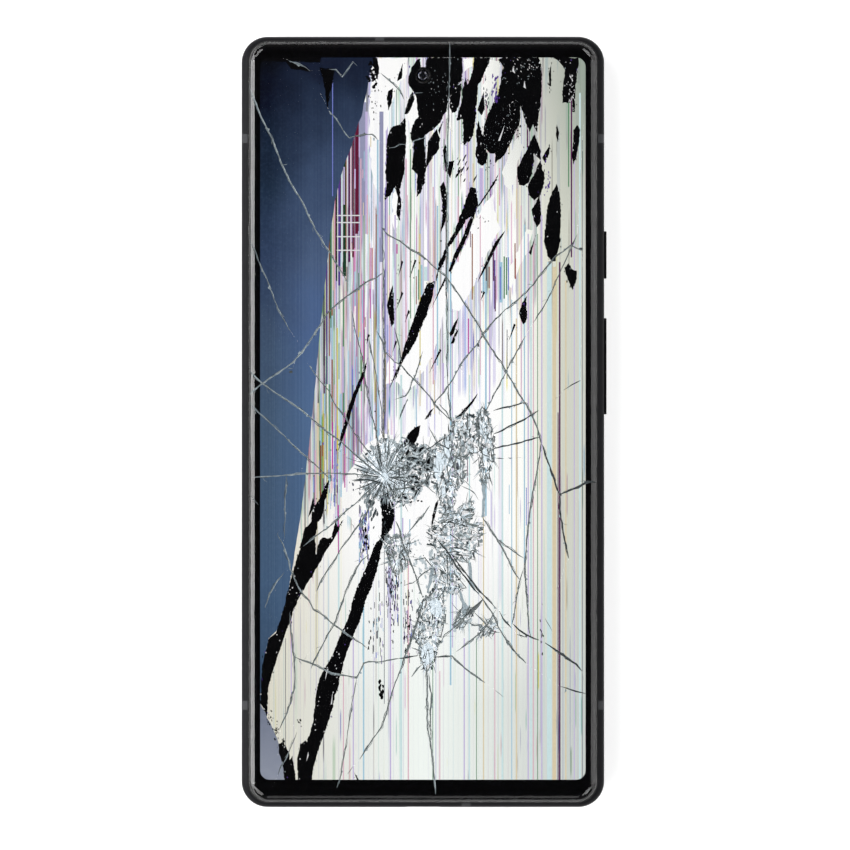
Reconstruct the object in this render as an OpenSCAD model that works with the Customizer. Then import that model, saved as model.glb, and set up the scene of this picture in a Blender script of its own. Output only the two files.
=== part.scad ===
// Phone with a shattered screen, lying on its back with the screen up.
// Origin: centre of the outline, on the outer face of the camera island.
// +X to the right and +Y to the top as one looks at the screen, +Z out of the screen.

/* [Body] */
// Width over the side rails
body_w = 77.2; // [76:0.1:96]
// Length over the end rails
body_l = 164; // [162:0.5:200]
// Thickness from rear glass to front glass
body_t = 8.9; // [8.8:0.1:11]
// Outline radius of the four corners
corner_r = 5.5; // [5.4:0.1:7]
// Radius of the rail's rounded edges, seen in section
rail_edge_r = 2.2; // [2:0.1:2.3]
// Depth from a glass plane down to the flat of the rail
rail_drop = 3.35; // [3.3:0.05:3.6]
// Thickness of the mid-plate
plate_t = 0.6; // [0.5:0.1:0.8]

/* [Glass] */
// Thickness of the cover glass and of the rear glass
glass_t = 0.65; // [0.5:0.05:0.8]
// Rail left visible beside the glass at the sides
rail_side = 1.6; // [1.5:0.1:1.8]
// Rail left visible beside the glass at the ends
rail_end = 1.2; // [1.1:0.1:1.5]
// Outline radius of the glass corners
glass_corner_r = 4.3; // [4.2:0.1:5]
// Radius of the curved glass edge
edge_r = 2.3; // [2.2:0.1:2.4]
// How far in from the rim the glass is curved
edge_reach = 2; // [1.9:0.05:2.1]
// Depth of the seating face of the glass below its flat
edge_drop = 1.6; // [1.5:0.05:1.65]
// Thickness of the gasket under and beside the glass
gasket_t = 0.1; // [0.08:0.01:0.15]
// Width of the gasket beside the glass
gasket_w = 0.3; // [0.2:0.05:0.35]
// Width of a crack at the surface of the glass
crack_w = 0.16; // [0.1:0.02:0.3]
// Depth of a crack groove
crack_d = 0.3; // [0.1:0.05:0.4]

/* [Display] */
// Thickness of the display panel
panel_t = 1.25; // [1:0.05:1.4]
// Thickness of the foam behind the display
foam_t = 0.2; // [0.15:0.05:0.3]
// Distance of the front camera from the top edge
selfie_from_top = 8.3; // [8:0.1:10]
// Radius of the hole in the display for the front camera
selfie_hole_r = 1.8; // [1.6:0.1:2.2]

/* [Side keys] */
// Top of the power button, from the top edge
power_from_top = 41.4; // [40:0.1:46]
// Length of the power button
power_l = 10.1; // [8:0.1:12.2]
// Top of the volume key, from the top edge
volume_from_top = 59.9; // [59:0.1:64]
// Length of the volume key
volume_l = 20.5; // [17:0.1:24.6]
// Height of the side keys
key_h = 2; // [1.6:0.1:2.1]
// How far the side keys stand out of the rail
key_proud = 0.5; // [0.4:0.1:0.8]
// Running clearance of a key and of the SIM tray in the rail
key_gap = 0.08; // [0.06:0.01:0.1]

/* [SIM tray] */
// Centre of the SIM tray, from the top edge
tray_from_top = 45; // [44.5:0.1:46]
// Length of the tray's outer face
tray_face_l = 17.2; // [16.6:0.1:18]
// Width of the tray's card frame
tray_w = 13; // [12.6:0.1:13.2]
// Depth of the card frame behind the rail
tray_depth = 13; // [12:0.1:13.4]

/* [Camera island] */
// How far the island stands out of the rear glass
island_h = 1.6; // [1.2:0.1:2]
// Length of the island
island_l = 54; // [50:0.5:56]
// Width of the island
island_w = 21; // [20:0.1:22]
// Centre of the island, from the top edge
island_from_top = 26; // [25.5:0.1:27]
// Clearance of the island in the rear glass
island_gap = 0.1; // [0.05:0.05:0.2]

/* [Ports] */
// Width of the USB port's opening
usb_w = 8.34; // [8.3:0.01:8.4]
// Height of the USB port's opening
usb_h = 2.56; // [2.5:0.01:2.6]
// Length of a sound slot at the lower end
slot_l = 10; // [8:0.5:12]
// Height of a sound slot
slot_h = 1.3; // [1:0.1:1.6]
// Width of an antenna band
band_w = 1.9; // [1:0.1:2.4]
// Distance of the antenna bands from the ends
band_from_end = 21.7; // [20:0.1:24]

/* [Insides] */
// Room for the boards above the battery, inside the frame
upper_bay_l = 52.8; // [52.5:0.1:54]
// Room for the port and the loudspeaker below the battery
lower_bay_l = 29.8; // [29.5:0.1:32]
// Room beside the battery for the key switches
side_bay_w = 5; // [4.6:0.1:6]
// Thickness of the circuit boards
board_t = 0.8; // [0.7:0.05:1]
// Height of the standoffs between mid-plate and board
standoff_h = 0.5; // [0.4:0.1:0.6]
// Radius of the screw shanks
screw_r = 0.7; // [0.6:0.05:0.8]

/* [Hidden] */
$fn = 48;

cut = 1;          // how far a cutting shape runs past what it cuts
fit = 0.3;        // room around a part that lies in a window of a board or cover

// Levels, from the back to the front
z_rear = island_h;
z_front = z_rear + body_t;
z_mid = z_rear + body_t / 2;
z_bay = z_rear + glass_t;
z_panel_top = z_front - glass_t;
z_panel = z_panel_top - panel_t;
z_plate_top = z_panel - foam_t;
z_plate = z_plate_top - plate_t;
z_board_top = z_plate - standoff_h;
z_board = z_board_top - board_t;
z_seat = z_front - edge_drop;

// Half sizes of the outlines
rail_cx = body_w / 2 - corner_r;
rail_cy = body_l / 2 - corner_r;
glass_hx = body_w / 2 - rail_side;
glass_hy = body_l / 2 - rail_end;
glass_cx = glass_hx - glass_corner_r;
glass_cy = glass_hy - glass_corner_r;
ledge_w = 1;                                  // from the rim of the glass in to the frame's inner wall
cav_hx = glass_hx - ledge_w;
cav_hy = glass_hy - ledge_w;
cav_r = glass_corner_r - ledge_w;
panel_hx = glass_hx - edge_reach;
panel_hy = glass_hy - edge_reach - 0.5;
panel_r = 2.2;

// Places along the length
top_y = body_l / 2;
selfie_y = top_y - selfie_from_top;
power_y = top_y - power_from_top - power_l / 2;
volume_y = top_y - volume_from_top - volume_l / 2;
tray_y = top_y - tray_from_top;
island_y = top_y - island_from_top;
battery_y1 = cav_hy - upper_bay_l;
battery_y0 = -cav_hy + lower_bay_l;
board_gap = 1.6;                              // between the battery and the boards
board_y0 = battery_y1 + board_gap;
board_y1 = cav_hy - 10.8;
tab_y1 = cav_hy - 1.3;
lower_y0 = -cav_hy + 1.8;
lower_y1 = battery_y0 - 3;
board_hx = cav_hx - 2.8;
battery_hx = cav_hx - side_bay_w;

// Rear stack
coil_t = 0.4;
coil_r = 22;
coil_y = (battery_y0 + battery_y1) / 2;
strip_t = 0.15;
z_battery = z_bay + coil_t + 0.1;
z_battery_top = z_plate - strip_t;
flex_t = 0.15;

// Keys and their switches
flange_t = 0.5;
flange_gap = 0.15;                            // between a key's flange and the frame's plate
power_room = 0.2;                             // between a key's flange and the rail
volume_room = 0.3;
nub_l = 0.4;
nub_r = 0.8;
dome_r = 1.5;
dome_h = 0.3;
flex_face_x = cav_hx - 1.8;                   // face of the switch strip
flex_strip_t = 0.3;

// SIM tray
tray_t = 0.7;
tray_gap = 0.1;                               // between the card frame and the main board
tray_z = z_board - tray_gap - tray_t / 2;
tray_face_t = 1.2;
tray_face_h = 2;
tray_x0 = -cav_hx + tray_depth;               // inner end of the card frame
pin_r = 0.45;
pin_y = tray_y + tray_w / 2 + 1;
socket_wall = 0.35;

// Camera island: the core of the pill and the steps of the bezel
island_r = island_w / 2;
island_c = island_l / 2 - island_r;
bezel_w = 1.6;
bezel_lip = 0.7;
bezel_flange_t = 0.4;
bezel_flange_w = 1.2;
window_t = 0.65;
window_sink = 0.05;
window_step = window_sink + window_t;

// Camera modules: x of the lens, side of the square body, radius and top of the lens barrel
main_cam = [-5.5, 11, 4.4];
wide_cam = [8.5, 9.5, 3.4];
zoom_cam = [-19, 10, 3.8];
flash_x = 19.5;
barrel_z = window_step + 0.2;
cam_body_z = z_bay + 0.5;

// Screws: [x, y] through the board cover and through the lower cover
upper_screws = [[-board_hx + 2.4, island_y - 8.6], [board_hx - 2.4, island_y - 8.6],
                [-board_hx + 2.4, board_y1 - 2.4], [board_hx - 2.4, board_y1 - 2.4]];
lower_screws = [[-board_hx + 2, lower_y1 - 2.4], [board_hx - 2, lower_y1 - 2.4],
                [-board_hx + 2, lower_y0 + 2.4], [board_hx - 2, lower_y0 + 2.4]];
head_r = 1.2;
head_h = 0.45;
post_r = 1.6;
cover_t = 0.4;
z_upper_cover = z_bay + 1.9;
z_lower_cover = z_bay + head_h + 0.1;

// Port
usb_wall = 0.3;
usb_l = 7.5;
usb_mouth_y = -body_l / 2 + 0.3;
usb_back_y = usb_mouth_y + usb_l;
slot_x = 17;
speaker_x = [9, 28];
speaker_y1 = lower_y0 + 17;

// Crack map: polylines in mm on a glass of this half size, stretched to the glass
map_h = [37, 80.8];
CRACKS = [
    [[-36, 69], [-32, 60], [-28, 50.5], [-25.4, 46.4], [-22.8, 40.8], [-19, 34.7], [-16, 29.7]],
    [[-35.5, 36], [-33, 30], [-31.2, 25], [-28, 19]],
    [[-36, 6.8], [-34, 8.3], [-30, 11], [-27.5, 12.8], [-25.8, 14.8], [-22, 20.2], [-18, 25.3], [-12, 29.8], [-8.6, 31.7]],
    [[-36, 3.2], [-33, 0.2], [-29.5, -3], [-25, -7.2], [-19.8, -12]],
    [[-34, 8], [-31, 6], [-28, 4], [-23.5, 0.6], [-19, -3], [-13, -8.2], [-9, -11.6]],
    [[-22.3, 9.2], [-19, 4.2], [-16.5, 0.8], [-13.5, -4], [-9, -10]],
    [[5.7, 79.5], [5.6, 70], [5.1, 50], [5.1, 20], [5.6, 4], [6, 0]],
    [[-8.8, 41.5], [-5, 38.5], [0.8, 34.5], [4.8, 31], [10, 23.3], [12.7, 18.8], [17.7, 10.7], [21.5, 4.4],
     [24.6, -2], [25.1, -4.5], [23.4, -15], [22.1, -25], [21.7, -31], [22.3, -40], [22.9, -45.5]],
    [[32.8, 39.8], [30.5, 34.5], [27.5, 28], [23.4, 21]],
    [[21.8, 18.2], [20, 15], [15.8, 7], [13, 1.5]],
    [[34, 36.5], [31.5, 37.6], [28, 35.2], [24, 30], [20, 25.8], [15, 21.3], [11.5, 16.4], [6.3, 9], [2.2, 4]],
    [[-8.5, 37], [-8.4, 28], [-8.1, 14], [-8.4, 5], [-8.3, -4]],
    [[-15.1, 23.5], [-13.6, 16.5], [-12.3, 9], [-11, 2.3], [-9, -8]],
    [[36, -12.8], [33, -13.9], [29.2, -15.4]],
    [[25.4, -4.8], [27.2, -10.2], [29.1, -16], [29.4, -20.5], [31, -29]],
    [[12.6, -20.2], [15.5, -24.5], [18.3, -29.5], [20.6, -33.5]],
    [[26, -47], [29.7, -49.5], [33.9, -53.1]],
    [[6.2, -49.8], [7.5, -51.2], [13.3, -55.5]],
    [[7, -30.5], [12, -36.8], [16, -43.5], [22, -51.4]],
    [[1, -52], [0.9, -60], [1.1, -65], [2.1, -72], [2.7, -79]],
    [[-29, -11.3], [-29.3, -20], [-29.5, -25]],
    [[-31, -23.8], [-28.2, -31.3], [-26, -36], [-23.3, -39.8], [-19, -43], [-12, -48]],
    [[-28.3, -40.5], [-27.4, -50.5], [-27.2, -54], [-28.2, -60], [-30.5, -65.3]],
    [[-27.2, -50], [-23.5, -51.4], [-19.5, -53.4], [-14, -54.3], [-12.6, -51.3], [-7.5, -50.7], [-1, -49.7]],
    [[-3, -46], [-5.8, -55.3], [-8.7, -64.8], [-13.5, -71.8]],
    [[-11.5, -28.2], [-14, -31], [-17.8, -40], [-20, -45], [-23.8, -52.5]],
    [[-22.6, -36], [-18.5, -29], [-14.5, -23], [-9, -13.5]]
];

function unit(v) = v / norm(v);
function reversed(list) = [for (i = [len(list) - 1 : -1 : 0]) list[i]];
function on_glass(p) = [p.x * glass_hx / map_h.x, p.y * glass_hy / map_h.y];
// One side of a crack: half its width at each point, tapered to the ends
function crack_side(p, side) = [
    for (i = [0 : len(p) - 1])
        let (last = len(p) - 1,
             d = unit(p[min(i + 1, last)] - p[max(i - 1, 0)]),
             half = (i == 0 || i == last ? 0.25 : 1) * crack_w / 2)
        p[i] + side * half * [-d.y, d.x]
];

// ---- shared shapes ----

// Sweeps the profile (x = distance out from the core, y = height) round a core rectangle
module sweep(cx, cy) {
    for (k = [0 : 3])
        translate([(k == 0 || k == 3 ? 1 : -1) * cx, (k < 2 ? 1 : -1) * cy, 0])
            rotate([0, 0, 90 * k])
                rotate_extrude(angle = 90)
                    children();
    for (m = [0, 1]) {
        mirror([m, 0, 0])
            translate([cx, 0, 0])
                rotate([90, 0, 0])
                    linear_extrude(height = 2 * cy, center = true)
                        children();
        mirror([0, m, 0])
            translate([0, cy, 0])
                rotate([90, 0, 90])
                    linear_extrude(height = 2 * cx, center = true)
                        children();
    }
}

module block(x0, x1, y0, y1, z0, z1) {
    translate([x0, y0, z0])
        cube([x1 - x0, y1 - y0, z1 - z0]);
}

module rounded_slab(hx, hy, r, z0, z1) {
    translate([0, 0, z0])
        linear_extrude(height = z1 - z0) {
            square([2 * hx, 2 * (hy - r)], center = true);
            square([2 * (hx - r), 2 * hy], center = true);
            for (sx = [-1, 1], sy = [-1, 1])
                translate([sx * (hx - r), sy * (hy - r)])
                    circle(r);
        }
}

// Pill of length l along the first axis and height h, as a 2D outline
module pill(l, h) {
    square([l - h, h], center = true);
    for (s = [-1, 1])
        translate([s * (l - h) / 2, 0])
            circle(h / 2);
}

// Pill along Y, thick along X from x0 to x1, for what goes through a side rail
module side_pill(x0, x1, y, l, h, z = z_mid) {
    translate([x0, y, z])
        rotate([90, 0, 90])
            linear_extrude(height = x1 - x0)
                pill(l, h);
}

// Pill along X, thick along Y from y0 to y1, for what goes through an end rail
module end_pill(x, y0, y1, l, h) {
    translate([x, y1, z_mid])
        rotate([90, 0, 0])
            linear_extrude(height = y1 - y0)
                pill(l, h);
}

module rod(x, y, r, z0, z1) {
    translate([x, y, z0])
        cylinder(h = z1 - z0, r = r);
}

// What lies at the front is repeated at the back
module at_back() {
    translate([0, 0, 2 * z_mid])
        mirror([0, 0, 1])
            children();
}

// ---- glass, gaskets and display ----

// Section of the glass rim, from the core outwards: flat, then curved down to the seat
module glass_section() {
    flat = glass_corner_r - edge_reach;
    intersection() {
        translate([0, z_seat])
            square([glass_corner_r, edge_drop]);
        difference() {
            union() {
                translate([0, z_front - edge_r])
                    square([flat, edge_r]);
                translate([flat, z_front - edge_r])
                    circle(edge_r);
            }
            translate([-cut, z_front - edge_r])
                square([flat + cut, edge_r - glass_t]);
            translate([flat, z_front - edge_r])
                circle(edge_r - glass_t);
        }
    }
}

module glass_shell() {
    sweep(glass_cx, glass_cy)
        glass_section();
    block(-glass_cx, glass_cx, -glass_cy, glass_cy, z_panel_top, z_front);
}

module cover_glass() {
    color("#20242a")
        difference() {
            glass_shell();
            translate([0, 0, z_front - crack_d])
                linear_extrude(height = crack_d + cut)
                    for (c = CRACKS) {
                        line = [for (p = c) on_glass(p)];
                        polygon(concat(crack_side(line, 1), reversed(crack_side(line, -1))));
                    }
        }
}

module display_panel() {
    color("#dfe2e0")
        difference() {
            rounded_slab(panel_hx, panel_hy, panel_r, z_panel, z_panel_top);
            rod(0, selfie_y, selfie_hole_r, z_panel - cut, z_panel_top + cut);
        }
}

flex_x = [-12, -2];                           // width of the display's ribbon
flex_y = battery_y1 + 0.8;
sensor_y = battery_y0 + 12;
sensor_half = 4.5;

module display_windows(z0, z1) {
    rod(0, selfie_y, selfie_hole_r, z0, z1);
    block(flex_x[0] - fit, flex_x[1] + fit, flex_y - fit, flex_y + flex_t + fit, z0, z1);
    block(-sensor_half - fit, sensor_half + fit, sensor_y - sensor_half - fit, sensor_y + sensor_half + fit, z0, z1);
}

module display_foam() {
    color("#2b2b2d")
        difference() {
            rounded_slab(panel_hx - 1, panel_hy - 1, panel_r, z_plate_top, z_panel);
            display_windows(z_plate_top - cut, z_panel + cut);
        }
}

module display_flex() {
    color("#8a5a1e")
        union() {
            block(flex_x[0], flex_x[1], flex_y, flex_y + flex_t, z_board - flex_t, z_panel);
            block(flex_x[0], flex_x[1], flex_y, flex_y + 2.4, z_board - flex_t, z_board);
        }
}

module front_camera() {
    color("#101114")
        union() {
            block(-3.5, 3.5, selfie_y - 3.5, selfie_y + 3.5, z_plate - 3.6, z_plate);
            rod(0, selfie_y, selfie_hole_r - 0.2, z_plate - cut, z_panel_top - 0.05);
        }
}

module fingerprint_sensor() {
    color("#3a3226")
        block(-sensor_half, sensor_half, sensor_y - sensor_half, sensor_y + sensor_half, z_plate + 0.1, z_panel);
}

module front_gasket() {
    gasket_top = z_front - edge_r + 0.85;
    color("#0d0d0e")
        sweep(glass_cx, glass_cy) {
            translate([glass_corner_r - 0.75, z_seat - gasket_t])
                square([0.75 + gasket_w, gasket_t]);
            translate([glass_corner_r, z_seat - gasket_t])
                square([gasket_w, gasket_top - z_seat + gasket_t]);
        }
}

module rear_gasket() {
    at_back()
        front_gasket();
}

// ---- frame ----

// Solid the rails are cut from
module rail_body() {
    flat = corner_r - rail_edge_r;
    sweep(rail_cx, rail_cy) {
        translate([0, z_rear + rail_drop - rail_edge_r])
            square([flat, body_t - 2 * (rail_drop - rail_edge_r)]);
        translate([0, z_rear + rail_drop])
            square([corner_r, body_t - 2 * rail_drop]);
        for (z = [z_rear + rail_drop, z_front - rail_drop])
            translate([flat, z])
                circle(rail_edge_r);
    }
    block(-rail_cx, rail_cx, -rail_cy, rail_cy, z_rear + rail_drop - rail_edge_r,
          z_front - rail_drop + rail_edge_r);
}

module glass_pocket() {
    rounded_slab(glass_hx + gasket_w, glass_hy + gasket_w, glass_corner_r + gasket_w,
                 z_seat - gasket_t, z_front + cut);
}

module rail_with_pockets() {
    difference() {
        rail_body();
        glass_pocket();
        at_back()
            glass_pocket();
        rounded_slab(cav_hx, cav_hy, cav_r, z_plate_top, z_front);
        rounded_slab(cav_hx, cav_hy, cav_r, z_rear, z_plate);
    }
}

// Slots of the antenna bands in the side rails and in the end rails
module band_slots() {
    for (sx = [-1, 1], sy = [-1, 1])
        translate([sx * body_w / 2, sy * (body_l / 2 - band_from_end), z_mid])
            cube([2 * (body_w / 2 - cav_hx), band_w, body_t], center = true);
    for (sy = [-1, 1])
        translate([sy * -9.2, sy * body_l / 2, z_mid])
            cube([band_w, 2 * (body_l / 2 - cav_hy), body_t], center = true);
}

module key_slot(y, l) {
    side_pill(cav_hx - cut, body_w / 2 + cut, y, l + 2 * key_gap, key_h + 2 * key_gap);
}

module tray_slot() {
    side_pill(-body_w / 2 - cut, -body_w / 2 + tray_face_t + key_gap, tray_y,
              tray_face_l + 2 * key_gap, tray_face_h + 2 * key_gap, tray_z);
    block(-body_w / 2, -cav_hx + cut, tray_y - tray_w / 2 - key_gap, tray_y + tray_w / 2 + key_gap,
          tray_z - tray_t / 2 - key_gap, tray_z + tray_t / 2 + key_gap);
    translate([-body_w / 2, pin_y, tray_z])
        rotate([0, 90, 0])
            cylinder(h = body_w / 2 - cav_hx + cut, r = pin_r);
}

module frame() {
    screws_at = concat(upper_screws, lower_screws);
    color("#1b1c1e")
        difference() {
            union() {
                rail_with_pockets();
                for (p = screws_at)
                    rod(p.x, p.y, post_r + 0.3, z_board_top, z_plate + plate_t / 2);
            }
            band_slots();
            key_slot(power_y, power_l);
            key_slot(volume_y, volume_l);
            tray_slot();
            end_pill(0, -body_l / 2 - cut, -cav_hy + cut, usb_w + 2 * usb_wall + 2 * key_gap,
                     usb_h + 2 * usb_wall + 2 * key_gap);
            for (sx = [-1, 1])
                end_pill(sx * slot_x, -body_l / 2 - cut, -cav_hy + cut, slot_l, slot_h);
            end_pill(14, cav_hy - cut, body_l / 2 + cut, slot_l, slot_h);
            end_pill(-20, cav_hy - cut, body_l / 2 + cut, 1.01, 1);
            display_windows(z_plate - cut, z_plate_top + cut);
            for (p = screws_at)
                rod(p.x, p.y, screw_r + 0.05, z_board_top - cut, z_plate_top - 0.2);
        }
}

module antenna_bands() {
    color("#2c2d30")
        intersection() {
            rail_with_pockets();
            band_slots();
        }
}

// ---- back ----

module island_hole(r, z0, z1) {
    translate([0, island_y, z0])
        linear_extrude(height = z1 - z0)
            pill(2 * (island_c + r), 2 * r);
}

module rear_glass() {
    color("#141517")
        difference() {
            at_back()
                glass_shell();
            island_hole(island_r + island_gap, z_rear - cut, z_bay + cut);
        }
}

module camera_bezel() {
    chamfer = 0.4;
    color("#18191b")
        difference() {
            union() {
                island_hole(island_r - chamfer, 0, chamfer);
                island_hole(island_r, chamfer, z_bay);
                island_hole(island_r + bezel_flange_w, z_bay, z_bay + bezel_flange_t);
            }
            island_hole(island_r - bezel_w, -cut, window_step);
            island_hole(island_r - bezel_w - bezel_lip, window_step - cut, z_bay + bezel_flange_t + cut);
        }
}

module camera_window() {
    color("#0b0c0e")
        island_hole(island_r - bezel_w, window_sink, window_step);
}

module camera(c) {
    block(c[0] - c[1] / 2, c[0] + c[1] / 2, island_y - c[1] / 2, island_y + c[1] / 2, cam_body_z, z_plate);
    rod(c[0], island_y, c[2], barrel_z, cam_body_z + cut);
}

module main_camera() {
    color("#1d1f24")
        camera(main_cam);
}

module wide_camera() {
    color("#1d1f24")
        camera(wide_cam);
}

module zoom_camera() {
    color("#1d1f24")
        camera(zoom_cam);
}

module flash() {
    color("#f2e6b8")
        union() {
            rod(flash_x, island_y, 2, barrel_z, z_board - 1);
            block(flash_x - 2.5, flash_x + 2.5, island_y - 2.5, island_y + 2.5, z_board - 1.5, z_board);
        }
}

module charging_coil() {
    color("#7a4a22")
        difference() {
            rod(0, coil_y, coil_r, z_bay, z_bay + coil_t);
            rod(0, coil_y, coil_r * 0.4, z_bay - cut, z_bay + coil_t + cut);
        }
}

// ---- boards ----

module camera_windows(z0, z1) {
    for (c = [main_cam, wide_cam, zoom_cam])
        block(c[0] - c[1] / 2 - fit, c[0] + c[1] / 2 + fit, island_y - c[1] / 2 - fit,
              island_y + c[1] / 2 + fit, z0, z1);
}

module main_board() {
    color("#16382a")
        difference() {
            union() {
                block(-board_hx, board_hx, board_y0, board_y1, z_board, z_board_top);
                block(-board_hx, -6, board_y1 - cut, tab_y1, z_board, z_board_top);
            }
            camera_windows(z_board - cut, z_board_top + cut);
            for (p = upper_screws)
                rod(p.x, p.y, screw_r + 0.1, z_board - cut, z_board_top + cut);
        }
}

// Cans: [x0, x1, length], both starting above the row of connectors
can_y = board_y0 + 3.2;
can_h = 1.2;

module shield_cans() {
    color("#a9abad")
        union() {
            block(-18, 1, can_y, island_y - 6.2, z_board - can_h, z_board);
            block(6, 28, can_y, island_y - 6.2, z_board - can_h, z_board);
        }
}

module sim_socket() {
    color("#b4b6b8")
        difference() {
            block(-cav_hx + 0.6, tray_x0 + 0.8, tray_y - tray_w / 2 - 0.5, tray_y + tray_w / 2 + 0.5,
                  tray_z - tray_t / 2 - key_gap - socket_wall, z_board);
            block(-cav_hx - cut, tray_x0 + 0.3, tray_y - tray_w / 2 - key_gap, tray_y + tray_w / 2 + key_gap,
                  tray_z - tray_t / 2 - key_gap, tray_z + tray_t / 2 + key_gap);
        }
}

module sim_tray() {
    color("#1b1c1e")
        difference() {
            union() {
                side_pill(-body_w / 2, -body_w / 2 + tray_face_t, tray_y, tray_face_l, tray_face_h, tray_z);
                block(-body_w / 2 + tray_face_t - 0.2, tray_x0, tray_y - tray_w / 2, tray_y + tray_w / 2,
                      tray_z - tray_t / 2, tray_z + tray_t / 2);
            }
            block(tray_x0 - 10, tray_x0 - 1, tray_y - tray_w / 2 + 0.8, tray_y + tray_w / 2 - 0.8,
                  tray_z - tray_t, tray_z + tray_t);
            translate([-body_w / 2 - cut, pin_y, tray_z])
                rotate([0, 90, 0])
                    cylinder(h = tray_face_t + 2 * cut, r = pin_r);
        }
}

module cover_with_posts(x0, x1, y0, y1, z0, screws_at) {
    difference() {
        union() {
            block(x0, x1, y0, y1, z0, z0 + cover_t);
            for (p = screws_at)
                rod(p.x, p.y, post_r, z0, z_board);
        }
        for (p = screws_at)
            rod(p.x, p.y, screw_r + 0.05, z0 - cut, z_board + cut);
    }
}

module board_cover() {
    color("#3c3e42")
        difference() {
            cover_with_posts(-board_hx, board_hx, board_y0 + 1, board_y1, z_upper_cover, upper_screws);
            camera_windows(z_upper_cover - cut, z_upper_cover + cover_t + cut);
            rod(flash_x, island_y, 2.5, z_upper_cover - cut, z_upper_cover + cover_t + cut);
        }
}

module lower_board() {
    color("#16382a")
        difference() {
            block(-board_hx, board_hx, lower_y0, lower_y1, z_board, z_board_top);
            block(-usb_w / 2 - usb_wall - fit, usb_w / 2 + usb_wall + fit, lower_y0 - cut, usb_back_y + fit,
                  z_board - cut, z_board_top + cut);
            for (p = lower_screws)
                rod(p.x, p.y, screw_r + 0.1, z_board - cut, z_board_top + cut);
        }
}

module lower_cover() {
    color("#2a2b2e")
        cover_with_posts(-board_hx, board_hx, lower_y0, lower_y1, z_lower_cover, lower_screws);
}

module usb_shell() {
    color("#b9bbbd")
        difference() {
            union() {
                end_pill(0, usb_mouth_y, usb_back_y, usb_w + 2 * usb_wall, usb_h + 2 * usb_wall);
                for (sx = [-1, 1])
                    translate([sx * (usb_w / 2 + usb_wall + 0.4), usb_back_y - 2.5, z_board - 0.15])
                        cube([2.2, 2, 0.3], center = true);
            }
            end_pill(0, usb_mouth_y - cut, usb_back_y - 0.4, usb_w, usb_h);
        }
}

module usb_tongue() {
    color("#1a1a1a")
        block(-3.345, 3.345, usb_back_y - 5.4, usb_back_y - 0.4, z_mid - 0.35, z_mid + 0.35);
}

module loudspeaker() {
    color("#232427")
        union() {
            block(speaker_x[0], speaker_x[1], lower_y0, speaker_y1, z_lower_cover + cover_t, z_board);
            block(slot_x - slot_l / 2, slot_x + slot_l / 2, -cav_hy + 0.2, lower_y0 + cut,
                  z_mid - slot_h, z_board);
        }
}

module speaker_mesh() {
    color("#3a3b3d")
        for (sx = [-1, 1])
            block(sx * slot_x - slot_l / 2 - 1, sx * slot_x + slot_l / 2 + 1, -cav_hy, -cav_hy + 0.2,
                  z_mid - slot_h, z_mid + slot_h);
}

module vibration_motor() {
    color("#9da0a3")
        rod(-25, lower_y1 - 9.5, 5, z_board - 3, z_board);
}

module microphones() {
    color("#c8b98a")
        union() {
            block(-18.8, -15.2, lower_y0 + 0.2, lower_y0 + 2.9, z_board - 1, z_board);
            block(-21.8, -18.2, tab_y1 - 2.9, tab_y1 - 0.2, z_board - 1, z_board);
        }
}

module earpiece() {
    color("#232427")
        block(7, 21, cav_hy - 7, cav_hy - 0.2, z_plate - 3, z_plate);
}

// ---- power ----

module battery() {
    color("#2d2f33")
        block(-battery_hx, battery_hx, battery_y0, battery_y1, z_battery, z_battery_top);
}

module battery_strips() {
    color("#e8e8e4")
        for (sx = [-1, 1])
            block(sx * 18 - 6, sx * 18 + 6, battery_y0 + 3, battery_y1 - 3, z_battery_top, z_plate);
}

module battery_flex() {
    color("#8a5a1e")
        union() {
            block(2.5, 5, battery_y1, board_y0 + 3, z_board - flex_t, z_board);
            block(2, 5.5, board_y0 + 0.6, board_y0 + 2.6, z_board - 0.9, z_board - flex_t);
        }
}

// Ribbon over the battery from the main board to the lower board
module main_flex() {
    color("#8a5a1e")
        union() {
            block(24, 29, battery_y0 - 0.6, battery_y1 + 0.6, z_battery - flex_t, z_battery);
            for (y = [battery_y0 - 0.6, battery_y1 + 0.6 - flex_t])
                block(24, 29, y, y + flex_t, z_battery - flex_t, z_board);
            block(24, 29, battery_y1 + 0.6 - flex_t, board_y0 + 2, z_board - flex_t, z_board);
            block(24, 29, lower_y1 - 2, battery_y0 - 0.6 + flex_t, z_board - flex_t, z_board);
        }
}

// ---- keys ----

// A key with its flange inside the rail and a nub for each switch
module key(y, l, room, nubs) {
    x_flange = cav_hx - room - flange_t;
    union() {
        side_pill(x_flange + flange_t / 2, body_w / 2 + key_proud, y, l, key_h);
        block(x_flange, x_flange + flange_t, y - l / 2 - 0.7, y + l / 2 + 0.7, z_mid - 1.6, z_plate - flange_gap);
        for (dy = nubs)
            translate([x_flange - nub_l, y + dy, z_mid])
                rotate([0, 90, 0])
                    cylinder(h = nub_l + flange_t / 2, r = nub_r);
    }
}

volume_nubs = [-volume_l / 2 + 4, volume_l / 2 - 4];

module power_button() {
    color("#1b1c1e")
        key(power_y, power_l, power_room, [0]);
}

module volume_key() {
    color("#1b1c1e")
        key(volume_y, volume_l, volume_room, volume_nubs);
}

module button_flex() {
    color("#6b4a1c")
        union() {
            block(flex_face_x - flex_strip_t, flex_face_x, volume_y - volume_l / 2 - 1,
                  power_y + power_l / 2 + 1, z_mid - 1.4, z_plate);
            for (y = [power_y, volume_y + volume_nubs[0], volume_y + volume_nubs[1]])
                translate([flex_face_x - flex_strip_t / 2, y, z_mid + 0.1])
                    rotate([0, 90, 0])
                        cylinder(h = flex_strip_t / 2 + dome_h, r = dome_r);
        }
}

module screw(p, z) {
    rod(p.x, p.y, head_r, z - head_h, z);
    rod(p.x, p.y, screw_r, z - head_h / 2, z_plate + 0.3);
}

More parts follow.
